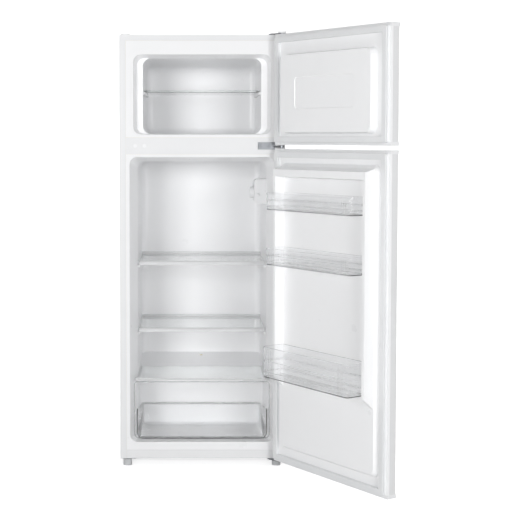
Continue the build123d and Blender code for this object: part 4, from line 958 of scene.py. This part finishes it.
class REFRIGERATOR_OT_studio(bpy.types.Operator):
    """Set up the floor, the light and the camera"""

    bl_idname = "refrigerator.studio"
    bl_label = "Studio"

    def floor(self, studio):
        """A pale floor that curves up into a backdrop behind the refrigerator."""
        pale = Finish("studio_paper", (0.95, 0.95, 0.95), 0.8)
        pale.tint(pale.noise(1.5), 0.995)
        pale.set("Emission Color", WHITE_LIGHT)
        seen = pale.tree.nodes.new("ShaderNodeLightPath").outputs["Is Camera Ray"]
        pale.spread(seen, 0.0, studio.glow, "Emission Strength")
        wide, before, behind, high, radius, steps = 9.0, -9.0, 5.0, 7.0, 1.5, 12
        profile = [(before, 0.0), (behind - radius, 0.0)]
        for n in range(1, steps + 1):
            angle = math.pi / 2 * n / steps
            y = behind - radius + radius * math.sin(angle)
            profile.append((y, radius - radius * math.cos(angle)))
        profile.append((behind, high))
        shape = bmesh.new()
        rows = [[shape.verts.new((x, y, z)) for x in (-wide, wide)] for y, z in profile]
        for a, b in zip(rows, rows[1:]):
            shape.faces.new((a[0], a[1], b[1], b[0]))
        mesh = bpy.data.meshes.new("floor")
        shape.to_mesh(mesh)
        shape.free()
        piece("floor", mesh, pale.material)

    def light(self, studio):
        """Even light from all round, and the lamps."""
        world = bpy.data.worlds.new("studio")
        bpy.context.scene.world = world
        world.use_nodes = True
        sky = world.node_tree.nodes["Background"]
        sky.inputs["Color"].default_value = WHITE_LIGHT
        sky.inputs["Strength"].default_value = studio.sky
        for name, place, target, size, share in LAMPS:
            data = bpy.data.lights.new(name, "AREA")
            data.energy, data.size = studio.key * share, size
            lamp = bpy.data.objects.new(name, data)
            lamp.location = place
            towards = Vector(target) - Vector(place)
            lamp.rotation_euler = towards.to_track_quat("-Z", "Y").to_euler()
            bpy.context.scene.collection.objects.link(lamp)

    def camera(self, studio):
        """The camera just left of the middle, its view shifted to take in the open doors."""
        data = bpy.data.cameras.new("camera")
        data.lens, data.sensor_width = studio.lens, SENSOR_MM
        data.shift_x, data.shift_y = studio.shift
        data.clip_end = 50.0
        low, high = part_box("top_panel")
        made = bpy.data.objects.new("camera", data)
        middle = (low.x + high.x) / 2
        made.location = (middle - studio.aside, low.y - studio.distance, studio.height)
        made.rotation_euler = (math.radians(90) - studio.pitch, 0.0, 0.0)
        bpy.context.scene.collection.objects.link(made)
        bpy.context.scene.camera = made

    def execute(self, context):
        studio = context.scene.refrigerator_studio
        self.floor(studio)
        self.light(studio)
        self.camera(studio)
        context.scene.view_settings.view_transform = "Standard"
        return {"FINISHED"}


class REFRIGERATOR_PT_panel(bpy.types.Panel):
    """Everything that builds the refrigerator's looks"""

    bl_label = "Refrigerator"
    bl_idname = "REFRIGERATOR_PT_panel"
    bl_space_type = "VIEW_3D"
    bl_region_type = "UI"
    bl_category = "Refrigerator"

    def draw(self, context):
        for name, group in SETTINGS.items():
            box = self.layout.box()
            settings = getattr(context.scene, name)
            for key in group.__annotations__:
                box.prop(settings, key)
        for step in STEPS:
            self.layout.operator(step.bl_idname)


SETTINGS = {
    "refrigerator_colours": RefrigeratorColours,
    "refrigerator_seals": RefrigeratorSeals,
    "refrigerator_racks": RefrigeratorRacks,
    "refrigerator_drawer": RefrigeratorDrawer,
    "refrigerator_knob": RefrigeratorKnob,
    "refrigerator_studio": RefrigeratorStudio,
}
STEPS = (
    REFRIGERATOR_OT_studio,
    REFRIGERATOR_OT_finishes,
    REFRIGERATOR_OT_seals,
    REFRIGERATOR_OT_racks,
    REFRIGERATOR_OT_drawer,
    REFRIGERATOR_OT_knob,
)


def register():
    for group in (*SETTINGS.values(), *STEPS, REFRIGERATOR_PT_panel):
        bpy.utils.register_class(group)
    for name, group in SETTINGS.items():
        setattr(bpy.types.Scene, name, PointerProperty(type=group))


def unregister():
    for name in SETTINGS:
        delattr(bpy.types.Scene, name)
    for group in reversed((*SETTINGS.values(), *STEPS, REFRIGERATOR_PT_panel)):
        bpy.utils.unregister_class(group)


def main():
    register()
    bpy.ops.refrigerator.studio()
    bpy.ops.refrigerator.finishes()
    bpy.ops.refrigerator.seals()
    bpy.ops.refrigerator.racks()
    bpy.ops.refrigerator.drawer()
    bpy.ops.refrigerator.knob()


if __name__ == "__main__":
    main()
